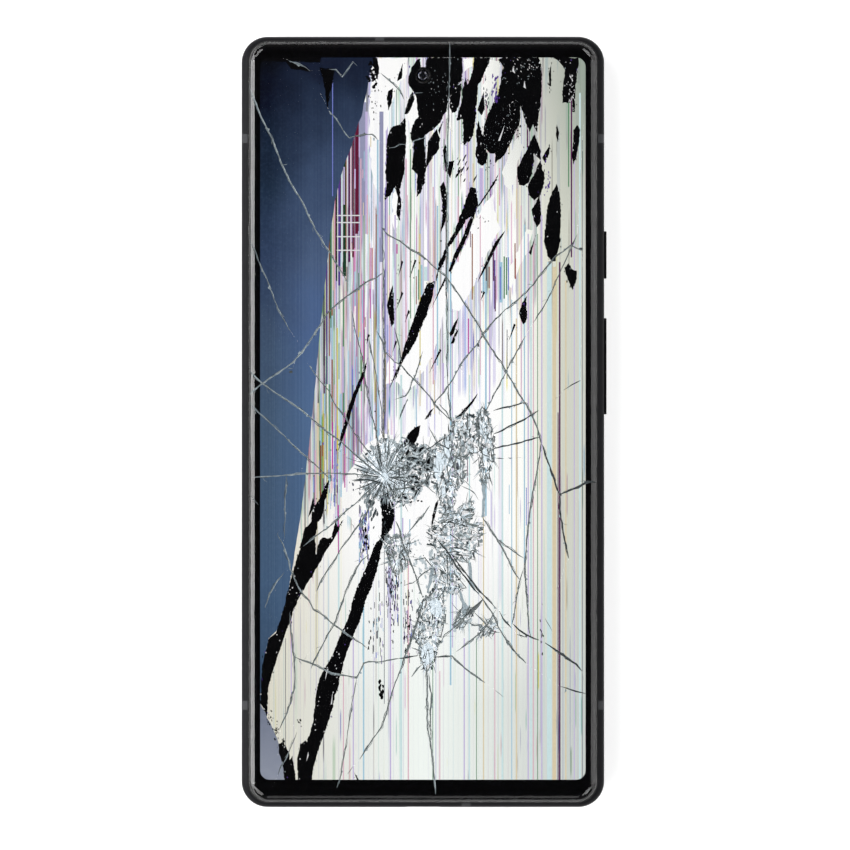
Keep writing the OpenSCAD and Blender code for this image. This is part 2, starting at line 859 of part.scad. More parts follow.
module screws() {
    color("#8f9194") {
        for (p = upper_screws)
            screw(p, z_upper_cover);
        for (p = lower_screws)
            screw(p, z_lower_cover);
    }
}

cover_glass();
display_panel();
display_foam();
display_flex();
front_camera();
fingerprint_sensor();
front_gasket();
frame();
antenna_bands();
rear_gasket();
rear_glass();
camera_bezel();
camera_window();
main_camera();
wide_camera();
zoom_camera();
flash();
main_board();
shield_cans();
sim_socket();
sim_tray();
board_cover();
battery();
battery_strips();
battery_flex();
main_flex();
charging_coil();
earpiece();
lower_board();
usb_shell();
usb_tongue();
loudspeaker();
speaker_mesh();
vibration_motor();
microphones();
lower_cover();
power_button();
volume_key();
button_flex();
screws();
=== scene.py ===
import math
import random

import bpy
import numpy as np
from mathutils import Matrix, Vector
from mathutils.geometry import delaunay_2d_cdt


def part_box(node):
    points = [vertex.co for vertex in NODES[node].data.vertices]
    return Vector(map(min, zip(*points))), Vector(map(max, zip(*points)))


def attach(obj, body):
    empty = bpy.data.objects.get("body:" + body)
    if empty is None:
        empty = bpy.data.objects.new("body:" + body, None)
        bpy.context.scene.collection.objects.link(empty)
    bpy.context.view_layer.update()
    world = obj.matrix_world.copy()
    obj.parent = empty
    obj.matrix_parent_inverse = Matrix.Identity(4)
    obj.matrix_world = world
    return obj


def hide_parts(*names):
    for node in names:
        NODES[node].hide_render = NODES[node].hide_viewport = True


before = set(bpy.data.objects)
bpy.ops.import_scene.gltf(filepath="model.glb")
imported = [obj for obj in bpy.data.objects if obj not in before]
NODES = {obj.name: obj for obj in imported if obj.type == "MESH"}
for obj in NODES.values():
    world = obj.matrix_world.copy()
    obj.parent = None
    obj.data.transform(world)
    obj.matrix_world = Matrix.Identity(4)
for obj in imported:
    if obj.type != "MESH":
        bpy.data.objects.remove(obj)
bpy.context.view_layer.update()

# Lengths are in millimetres in the CAD frame, and become metres in make_mesh(). Angles are in radians.
MM = 0.001


def box_mm(node):
    lo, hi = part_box(node)
    return lo / MM, hi / MM


def middle_of(node):
    lo, hi = box_mm(node)
    return (lo.x + hi.x) / 2, (lo.y + hi.y) / 2


GLASS_LO, GLASS_HI = box_mm("cover_glass")
PANEL_LO, PANEL_HI = box_mm("display_panel")
LENS_LO, LENS_HI = box_mm("front_camera")
GLASS_HX, GLASS_HY = GLASS_HI.x, GLASS_HI.y
GLASS_R = 4.3                            # corner radius of the glass
GLASS_SHAPE = (GLASS_HX, GLASS_HY, GLASS_R)
GLASS_T = 0.65                           # thickness of the glass
RIM_R = 2.3                              # radius of its curved edge
RIM_REACH = 2.0                          # how far in from the rim the curve starts
PAST_RIM = RIM_REACH + 0.06              # where it is surely flat
CORNER_STEPS = 14
Z_FRONT = GLASS_HI.z
Z_SEAT = GLASS_LO.z
Z_UNDER = Z_FRONT - GLASS_T + 0.01
Z_CURVE = Z_FRONT - RIM_R                # height of the middle of the curve
Z_PICTURE = PANEL_HI.z - 0.01
LIT = (-34.6, 34.6, -76.1, 77.5)         # the lit area of the screen: left, right, foot, top
LIT_R = 2.0
SELFIE = (0.0, (LENS_LO.y + LENS_HI.y) / 2)
SELFIE_R = 1.8
IMPACT = (-8.2, -11.6)                   # where the blow fell
BARREL_R = {"main_camera": 4.4, "wide_camera": 3.4, "zoom_camera": 3.8, "flash": 2.0}
CAMERA_BODY_Z = 2.75                     # where the square bodies of the rear cameras start

# ---------------------------------------------------------------- tables
# Places are x,y pairs. A line that starts with a space carries on the row before it.


def rows(text):
    return text.strip().replace("\n ", " ").splitlines()


def points(text):
    return [tuple(float(v) for v in p.split(",")) for p in text.split()]


# The two coloured fields at the left of the picture
BLUE = points("""
-35.2,79 -9.9,79 -10,77.3 -11.3,74.5 -11.7,71 -12.6,67.5 -13,65 -13.7,63.5 -15.2,58.5 -16,56.5 -16.8,54.5
 -17.5,52 -18,50 -18.7,47 -19.1,44 -19.8,40 -20.2,35 -20.8,30 -21.3,25 -21.8,20 -22.3,15 -22.7,10 -23.2,5
 -23.8,-1 -24.2,-5 -24.6,-8 -25,-12 -25.9,-19 -26.3,-22 -27,-26 -27.5,-29.5 -28,-32.5 -28.6,-36 -29.3,-39
 -30,-42 -31.2,-44.5 -32.8,-46 -33.4,-49 -34,-52 -34.5,-60 -35.2,-61
""")
LAVENDER = points("""
-35.2,-59 -34.5,-60 -33,-63 -31,-67.5 -30.3,-70.5 -29.5,-74 -29.2,-77 -35.2,-77
""")

# Black leaks in the display
LEAKS = """
27.4,77.6 31,77.5 30.7,75.4 30.3,74.8 29.9,75.8 29,76.9
-3.8,64.5 -5,63.1 -6.2,62.8 -7,61.8 -7.5,60 -7.8,53 -7.6,50.5 -8,47.3 -7,48.4 -5.8,50.3 -5.2,47 -5.4,44
 -5,42.8 -4.7,46 -5,49.5 -4.6,51.5 -4,54 -3.7,60
-0.2,65.4 -1.2,64.2 -2,63 -2.5,61.5 -2.4,60 -1.8,59.6 -2.1,53.8 -1,52.5 -1.3,48 -0.5,49 0.2,51 0.5,54 0.2,58
 0.3,62
-2.2,70.2 -1.9,68.7 -2.6,67 -3.4,65.6 -3.8,65.6 -3,68.5
-6.4,70.9 -7.3,70.2 -7.5,68.7 -7.3,66.3 -6.8,67.9
-4.3,76.2 -4.6,73.2 -5.4,72.6 -5,74
-2.9,73.5 -2.2,75.5 -1.2,76.9 -0.6,77.2 -0.5,75.3 0.6,75.3 1,77.4 8.3,77.4 8.3,74.5 8,72.6 6.2,70.2 5.4,68.4
 4.8,66.2 4,64.5 2.8,63 1.2,61.6 0,60.8 -0.5,64 -1.5,70 -2.9,72
8,72 7,71 6,69 5.8,67 6.3,65.8 7,66 7.6,67.5 8,69.5
11,77.4 14.2,77.4 13.3,75 12.2,72.5 11.6,71.8 11.4,69 11.2,65 10.5,61 10,59.8 8.7,59 8.8,62 8.5,64.5
 7.3,64.2 7.6,65.8 8.4,67.8 8.6,70.5 9,73.2 9.5,71.6 10.2,73 10.8,74.8
16.6,71.7 17.2,75.5 16.2,77 17,77.4 24.5,77.4 25.2,75 25.1,70 24.7,66 24.2,61.8 23.4,63.5 22.8,61.8
 22.2,63.5 21.4,65.8 20.6,67.5 20.6,64 19.8,62.2 18.1,58.5 16.8,56.5 15.4,55.3 15.4,57.2 14.3,57.3 13.4,58.2
 12.9,60 13,62.5 13.8,65 15,67.3 16,69.5
13,70.3 12.2,67.8 11.8,66.3 12.5,65.4 13,66.5
11.8,64 11.5,62 11.6,59 11.3,57 11.7,55.2 12.5,54.6 13.4,55.2 13.6,57 13,59 12.4,61.5
23.7,61 22.6,58.5 21.3,56 20.3,54 20.1,52.3 20.6,50.6 21.3,50.3 22.3,51 23.1,53 23.6,55.5 23.4,57.3
 24.9,55.8 24.9,57.8
25,55.5 24,53 22.4,50 22.8,48.3 23.6,47.2 24.7,48 25.4,50 25.7,52.5
24.7,48 23.3,45 23.6,43 24.3,41.6 24.8,42.5 25,45
27,58.9 25.5,56.2 26,55.2 26.7,57
30.9,77.3 33,77.2 32.8,74.8 32.3,72 31.3,68 29.8,68 29.9,71 30.3,74.5
32.4,73 32.2,66 31.9,66 32,73
32.8,63 33.3,62.3 33,59 32.5,56 32,54.8 31.9,56.5 32.3,62
28.4,50.5 28.9,48.5 29.2,45 29,37.5 28.5,36 28,34.3 27.4,34.2 26.7,35.5 26,38.5 26.4,44 27,47 27.7,49
27.3,76 27.2,71.5 27,71.5 26.9,74
28.5,63.3 28.8,61.5 28.7,59.5 28.4,61
3,62.2 3.4,60.2 3.2,58 2.4,57 1.2,55 0.6,54 1.2,59.4 2.2,61
4.3,64 3.5,61.2 3.4,62
4.8,59 5.2,54.5 4.9,53 4.4,57.8
6.6,55.5 5.8,52 5.4,53 5.6,55.3
4.4,51 4.8,49.5 5,46 4.7,43 3.7,40 4.3,44 4.2,46.5 3.8,50
10.2,49.8 11.1,49.6 11.6,46.3 11,44.8 10.3,43.9 9,43 8.2,41.5 6.5,38.8 5.3,37.2 5,35.8 4.3,34 3.3,32
 2.5,28.7 3.5,33.5 5.2,37.8 7,40.5 8,43.5 8.9,46 9.6,48
16.3,53 15,50.5 13.8,48.8 12.5,46.8 11.4,45.5 10.4,42.5 9.6,40 8.7,38 7.3,35.2 5.9,32 5.6,32.1 6.8,35.5
 8.8,39.8 10,43
2.5,29.8 1.7,26.4 0.7,23 -0.5,20 -2.1,16.4 -3.9,13.8 -4.9,12 -6,8.5 -5.1,12 -4.3,14.2 -3,18.2 -1.8,21.8
 -0.4,26 0.9,29.2
-5.5,10.8 -7.3,6.5 -5.6,11.2
4.9,30.5 1.5,23.5 4.7,30.6
-6.4,29 -6.3,25 -6.2,21 -6.7,20.3 -7.5,24.8 -7,27
-4.3,34 -5.2,31 -4.5,34.2
-1.5,34.3 -2.8,30.6 -1.7,34.4
-4.3,27.3 -5.6,24 -4.5,27.6
-2.9,23.5 -3.8,21.2 -3.1,23.7
-5.6,17 -6.5,14.7 -5.8,17.2
-11.4,18.4 -12,16.5 -11.7,18.6
-11.8,13.5 -12.4,10.5 -13.3,8 -14.5,5 -15.3,2.5 -15.9,0 -16.9,-3 -18,-6.2 -17.3,-2.8 -16.5,0 -15.9,2.5
 -15,5.1 -13.8,8 -12.7,10.5
22.1,26.8 21.8,25 22,23.2 21.8,21.3 21.3,20.9 20.6,23 21.2,25
31,33.6 31.9,32.2 32.6,32 32.6,30.5 31.8,28.2 30.7,31 30.3,32.8
23.8,39.2 23,35.6 22.7,36
17.5,40.7 15.8,37.8 14.8,35.8 13.3,32.8 11.4,29.3 13.1,33.1 14.6,36.2 15.5,38.2
13.1,27.5 12.3,25.8 12.9,27.7
7.6,22.2 6.5,19 5.9,18.2 5.8,18.8 7,21.3
7.6,19.8 6.5,16.8 6,16.7 6.9,18.8
3.8,15.2 1.3,10.3 3.6,15.4
11.7,6.1 10.6,4.2 9.2,2.5 7.6,0.7 7.2,0.9 8.9,2.6 10.4,4.3
2.3,2.9 1,0.9 0.4,0.5 1.6,2.3
19.6,20.6 18.2,17 19.4,20.8
-0.6,-0.8 -1.7,-1.3 -2.7,-2.2 -3.5,-3.5 -4.5,-5 -5.4,-6.2 -6.2,-8 -4.9,-6.6 -3.2,-3.9 -2.9,-5.1 -2.2,-4.8
 -1.4,-3.6 -0.9,-2.2
3.4,-16.4 2.9,-18 2.3,-20.5 1.7,-23 2.1,-20.5 2.8,-17.4
-19.9,-12 -20.4,-14.5 -21,-17 -21.3,-19 -21.8,-20.5 -22.5,-21.3 -23.1,-24.5 -22.7,-28.5 -21.9,-25.5
 -21.5,-24.7 -20.1,-24.9 -19.3,-24.7 -18.5,-21.3 -18.2,-22.5 -17,-20.8 -18.5,-23.8 -20,-26.2 -22.3,-30.3
 -24.6,-34.2 -26.7,-37.7 -27.5,-39.7 -28.3,-42 -29.5,-45 -30,-47 -31,-49.5 -31.6,-51.5 -32.4,-54 -33,-56.5
 -33.2,-62.5 -34.4,-60 -34.2,-56 -34,-52 -33.3,-49 -32.6,-46.2 -31.2,-45 -30.1,-42 -29.2,-38.5 -28.3,-35
 -27.5,-32 -26.6,-29 -26,-27 -25,-22.5 -24.2,-22.2 -23.7,-21.5 -23.5,-19.5 -22.8,-17.8 -22,-17 -21,-14.5
-23.4,-16.2 -24.4,-20.3 -23.1,-18
-7.8,-14.5 -7,-16 -6.2,-18 -6.1,-20 -6.5,-22 -7.5,-23.5 -8.3,-24.2 -9.2,-28 -9.6,-30 -11,-35 -12,-37
 -13.4,-42 -15.5,-46.5 -16.7,-50 -17.5,-53.5 -19,-59 -19.7,-62 -20.8,-65.5 -22,-68.5 -23.1,-72.3 -24,-77
 -26.5,-77 -26.6,-73 -26.3,-70.5 -25.9,-68.8 -25.1,-67.8 -24.6,-68.3 -23.8,-66 -23.1,-63.5 -22.9,-60.5
 -22.5,-57.5 -21.8,-54.5 -20,-51.2 -19,-49.5 -17.8,-46.5 -16.5,-43.5 -15.2,-40 -14.9,-38 -13.9,-35.5
 -12.6,-32.5 -11.4,-29.5 -10,-26 -9,-25 -8.6,-23.5 -8.5,-21 -9,-16
-30.5,-68.5 -29.8,-68.2 -28.5,-70.5 -28.2,-72 -27.9,-71 -27.4,-74 -27.2,-77 -29.2,-77 -29.6,-73.5 -30.5,-70
-29.5,77 -25,75.6 -24,74.5 -28,75.3
-21.9,75.3 -18.8,74.9 -19.5,71 -20,69.8 -20.3,66.7 -20.9,71.8
-34.6,77.6 -34.4,76.9 -22,76.6 -21.6,77.6
-10.6,77.3 -10.2,74 -9.6,72.9 -9.5,75 -9.8,77.3
-14.6,-74.6 -13.7,-76.1 -13.9,-76.1
"""

# Slits of light inside the leaks
SLITS = """
17.4,63.2 16,59.8 16.4,59.8 17,61.7
-20.8,-55 -20.1,-52.5 -20.5,-52.8
21.6,72.6 21.9,70.9 21.4,71.2
19.2,75.6 19.6,74.1 19,74.6
-19.2,-57.5 -19.6,-60.2 -19.3,-59.9
-24.8,-72.2 -24.4,-70.1 -24.3,-71
"""

# Light without lines in it
CLEAR = """
-10.9,76.4 -9.5,77.4 -3.2,77.4 -3.4,74 -5.2,71.5 -6.8,67.6 -7.6,62 -8.1,50 -9.2,48 -10.6,51 -11.3,58
 -11.4,66
6,31 7.7,35 9.8,39.6 11,43 13,46 15,49 15.2,45 16.5,41 14.8,38 12.6,33.5 11.3,30 9.5,26.5 7.8,23.5 6.4,24
 5.6,27
2.4,26 4.6,29.8 5.4,27 4.2,22.5 3.4,19 2.4,15.6 0.6,11.6 -1,9.4 -3.4,9.2 -5,11 -3.8,13.6 -2.4,15.6 -1,19.5
 0.6,23
16.8,53 18.6,57 20,60.5 21.4,58.4 20,54.6 19.8,51.6 18.6,49.4 17.4,50.6
18.4,33 20.6,37.4 22.2,41 23.4,40.6 22,36 20.4,32.6 18.8,28.4 17.4,29.6
-2.6,61 -0.4,65 0.4,68 -0.5,70 -2.2,70.6 -3.2,68.6 -3.2,64.4
12.2,76.6 13.6,73.4 12.4,71 13.2,67.4 14.4,70.4 16.2,73.4 16.6,76.4 14.6,77.2
8.6,77.2 8.8,74.4 10.4,75.8 10.8,77.3
-9,-2.6 -12,-5 -14.4,-8.4 -17.6,-14 -16.8,-19 -13,-23 -9,-26 -4,-28 4,-28 11,-24 13,-16 13.4,-6 9,-3.4
 6,-2.6 0,-3.2 -5,-2.6
-7.6,12.4 -7.8,8 -5.4,8.6 -3.6,6 -1.4,8.2 -2.6,9.6 -4.8,11.8 -6.4,14
-6.4,48.6 -5.4,49.6 -5.2,44 -5.7,40 -6.5,43
"""

# Lines down the screen: colour, middle, width, top, and foot where they end above the screen's own
LINES = """
leaf -0.9 0.25 32.4 26
sky -0.3 0.45 33.4 27
brown -1.4 0.2 31 25
ice 0.6 0.7 33 30
sky 12.9 0.45 33 27.6
slate 13.5 0.3 33.4 27.2
brown 14.1 0.25 33 28.4
violet 15.3 0.3 34.4 24
sky 16.6 0.65 34 25.4
leaf 17.3 0.3 35.2 26.2
cobalt 17.8 0.3 35 27.6
brown 18.2 0.25 35 28
crimson 19.7 0.2 34.8 30.4
dusk -8.9 0.7 66 34
lilac -7.7 0.4 62 32
plum 29.1 0.35 34
plum 28.75 0.2 2
ice 26.9 1.0 34
tan 27.95 0.8 33
leaf 31.0 0.25 68 50
plum 31.6 0.3 69 35
dusk -12.9 1.7 68 44
lilac -12.0 0.5 66 40
ice -11.6 0.3 58 30
brown -19.9 0.25 44 14
leaf -19.5 0.3 46 20
tan -19.1 0.25 48 28
rose -18.75 0.3 50 24
pine -18.35 0.3 52 30
violet -17.8 0.45 54 29
ice -17.3 0.3 56 33
pine -16.7 0.75 58 31
slit -16.15 0.25 60 33
plum -15.65 0.45 62 34
rose -15.25 0.2 62 36
wine -14.85 0.4 64 35
slate -14.5 0.2 64 37
wine -14.0 0.75 66 40
rose -13.2 0.25 56 18
pine -21.0 0.25 30 12
violet -20.4 0.3 34 8
pine -19.75 0.2 42 22
wine -18.55 0.2 50 34
slit -18.1 0.12 53 30
plum -17.5 0.2 56 36
slit -17.05 0.1 58 34
brown -16.3 0.2 58 36
slit -15.4 0.12 62 36
slate -15.05 0.2 62 38
leaf -13.6 0.2 40 22
magenta -12.6 0.2 30 8
leaf -16.9 0.3 26 2
yellow -18.2 0.3 20 -6
sky -17.4 0.3 6 -16
magenta -16.6 0.25 2 -14
leaf -19.8 0.3 8 -12
cobalt -18.8 0.2 -4 -18
plum -20.9 0.2 22 2
tan -22.3 0.3 4 -20
rose -22.9 0.25 -6 -24
pine -21.9 0.2 -4 -20
magenta -11.2 0.25 37 22
crimson -10.8 0.25 37 30
yellow -13.6 0.25 28 18
cobalt -15.0 0.3 12 2
sky -14.6 0.25 20 -2
brown -19.3 0.3 24 -2
dusk -8.5 0.22 66 -3
slate -8.2 0.12 30 -60
sky -20.0 0.3 -2 -13
magenta -19.2 0.25 0 -10
brown -21.7 0.25 -5 -18
yellow -21.2 0.2 6 -12
leaf -20.6 0.2 14 -8
magenta 9.7 0.25 22 14.5
lilac 4.3 0.4 12.5 6
cobalt 16.5 0.25 33 26
cobalt 18.2 0.25 35 28
leaf 17.8 0.3 35 27
plum 15.0 0.25 36 30
plum 15.4 0.25 31 23.5
brown 19.6 0.25 38 30.5
tan 10.7 0.3 55 50
rose 16.3 0.25 54 46
lilac 12.4 0.7 54 47
rose 7.5 0.25 48 34
brown 10.5 0.25 40 26
lilac -6.1 0.25 20 -30
sky -1.4 0.2 7 -4
lilac 1.1 0.3 56 30
rose 2.2 0.25 50 8
sky 3.1 0.3 46 12
leaf -2.6 0.2 58 22
rose -3.6 0.25 56 14
lilac -5.9 0.3 44 10
sky -9.6 0.35 60 -4
rose -7.1 0.2 44 8
yellow -0.6 0.2 40 12
sky 5.9 0.35 34 -56
lilac 6.3 0.2 24 -48
rose 12.2 0.2 44 10
sky 13.4 0.35 30 -20
lilac 14.2 0.3 28 4
rose 20.9 0.2 46 4
sky 21.6 0.25 42 -30
lilac 22.4 0.25 40
rose 23.5 0.2 38
leaf 24.4 0.15 40
lilac 25.3 0.25 44
sky 18.9 0.2 26
rose -3.1 0.25 -28
lilac -6.9 0.3 -26
leaf 2.1 0.15 -50
rose 3.6 0.2 -53
lilac 8.8 0.25 -46
leaf 11.4 0.15 -46
rose 15.3 0.2 -44
sky -12.6 0.3 -38
lilac -14.8 0.25 -46
rose -16.9 0.2 -54
slate -29.2 0.12 -46
lilac -28.0 0.2 -40 -60
tan 30.4 0.3 30
lilac 32.2 0.2 62
ice 33.4 0.35 70
slate 33.9 0.12 60
ice 23.0 0.4 30
ice 16.9 0.35 12
ice 9.9 0.3 10
ice -4.6 0.4 10
ice -17.9 0.35 24 -40
tan 19.9 0.3 22
tan 12.9 0.25 -20
"""

# Little blots: colour, middle, how far they scatter, how many, size, stretch, lean. The shade and murk rows
# near -7.5,-5.2 and the haze and murk rows at 0,-30 are painted shade and painted haze of the crushed glass
# over the picture.
SPATTER = """
murk -2.6,-9.6 3,3.2 34 0.34 1.8 any
slit -3,-10.6 2.4,2 30 0.5 1.4 any
murk -2,-7.4 3.2,1.8 24 0.34 2.4 any
black -2,-7.4 3,1.6 12 0.3 2.4 any
black -2.4,-12.8 1.6,0.6 12 0.34 1.6 any
black 0.2,-9.8 0.5,0.6 5 0.45 1.2 any
murk -9.6,-8 1.6,3 26 0.24 3 any
shade -11.4,-16.4 1.6,3.4 30 0.26 2.6 -0.25
murk -10.2,-17.4 1,3 18 0.24 2.6 -0.25
black -1.8,-16.4 1.4,1 6 0.34 0.8 0.2
black -11,-14.4 0.9,1.5 6 0.3 1.6 -0.4
shade -7.6,-5.4 2.4,1.6 34 0.24 2.8 1.3
murk -7.4,-5 1.8,1.2 12 0.16 2.8 1.3
haze 0,-30 1.6,3.4 26 0.3 2 0.2
murk 0,-30 1.8,3.4 22 0.08 2 0.2
slit 31.8,72 0.45,3.6 26 0.07 3 0.12
slate 7.2,-9.6 1,2.2 12 0.32 1.4 0.2
black -6.4,-34.6 1.4,3.6 26 0.12 2.2 0
black -6.4,-42.5 0.35,4.8 20 0.11 2.6 0
black -9,-56.8 0.4,2 9 0.3 1.7 0.1
black -11.2,-44.8 0.35,2.6 9 0.16 2.4 0.1
black -32.5,-63.2 0.35,1 14 0.13 1.6 0.5
black -31.1,-65.8 0.35,1.2 18 0.14 1.6 0.5
black -29.7,-68.4 0.35,1 16 0.16 1.6 0.5
black -26.2,-63.8 0.6,0.9 7 0.14 1.3 0.5
black -10.3,69 1.3,4.4 26 0.14 1.8 0.1
black 27.2,73.6 0.5,2.8 8 0.13 2.4 0
black 8.4,54 1.9,4.4 12 0.16 4.5 -0.45
black 25.4,-44 0.25,4.5 9 0.13 2.6 0
black -3.6,-46.8 0.35,1.6 6 0.12 3 -0.2
black -12.2,-24.6 0.8,3.4 14 0.2 2.4 0
slate -14,-13 2.2,3 10 0.18 2 0.2
slit -7.1,-19.4 0.9,2.2 12 0.12 1.4 0.3
slit -22.6,-60 0.9,6 8 0.1 1.6 -0.3
slit 18.6,66 2.6,6 34 0.05 2.2 -0.3
shade 18.2,66 2.6,6 40 0.06 2.4 -0.3
slit 22,75.6 2.6,1.6 26 0.07 2.2 0.5
shade 21.6,74.6 3,2.4 26 0.08 2 any
slit 3,70.6 2.4,4.6 16 0.05 2.2 -0.2
shade 3,70.6 2.6,4.8 30 0.06 2.4 -0.2
shade 13.8,60.5 1,2.6 14 0.06 1.8 0
violet 15.4,71 0.6,2.6 26 0.16 2.6 -0.2
slate 13.6,68.6 0.5,2.2 18 0.13 2.6 0
black 13.8,54.6 1,1.2 16 0.12 1.6 0
violet 26.6,51.6 0.5,2.2 16 0.13 2 0
slit 31.6,71 0.7,4 18 0.06 2.6 0.1
black 20.2,61.6 0.9,1.2 14 0.12 1.4 0.4
black 12,43.4 1.6,1.4 16 0.09 1.8 -0.5
slit -26,-46 2,4 14 0.06 1.8 -0.5
slit -18,-56 1.4,7 22 0.08 1.8 -0.4
black -10.8,74 0.8,2.6 34 0.26 1.5 any
slit -27.5,-36.5 2,4 7 0.1 1.6 -0.5
"""

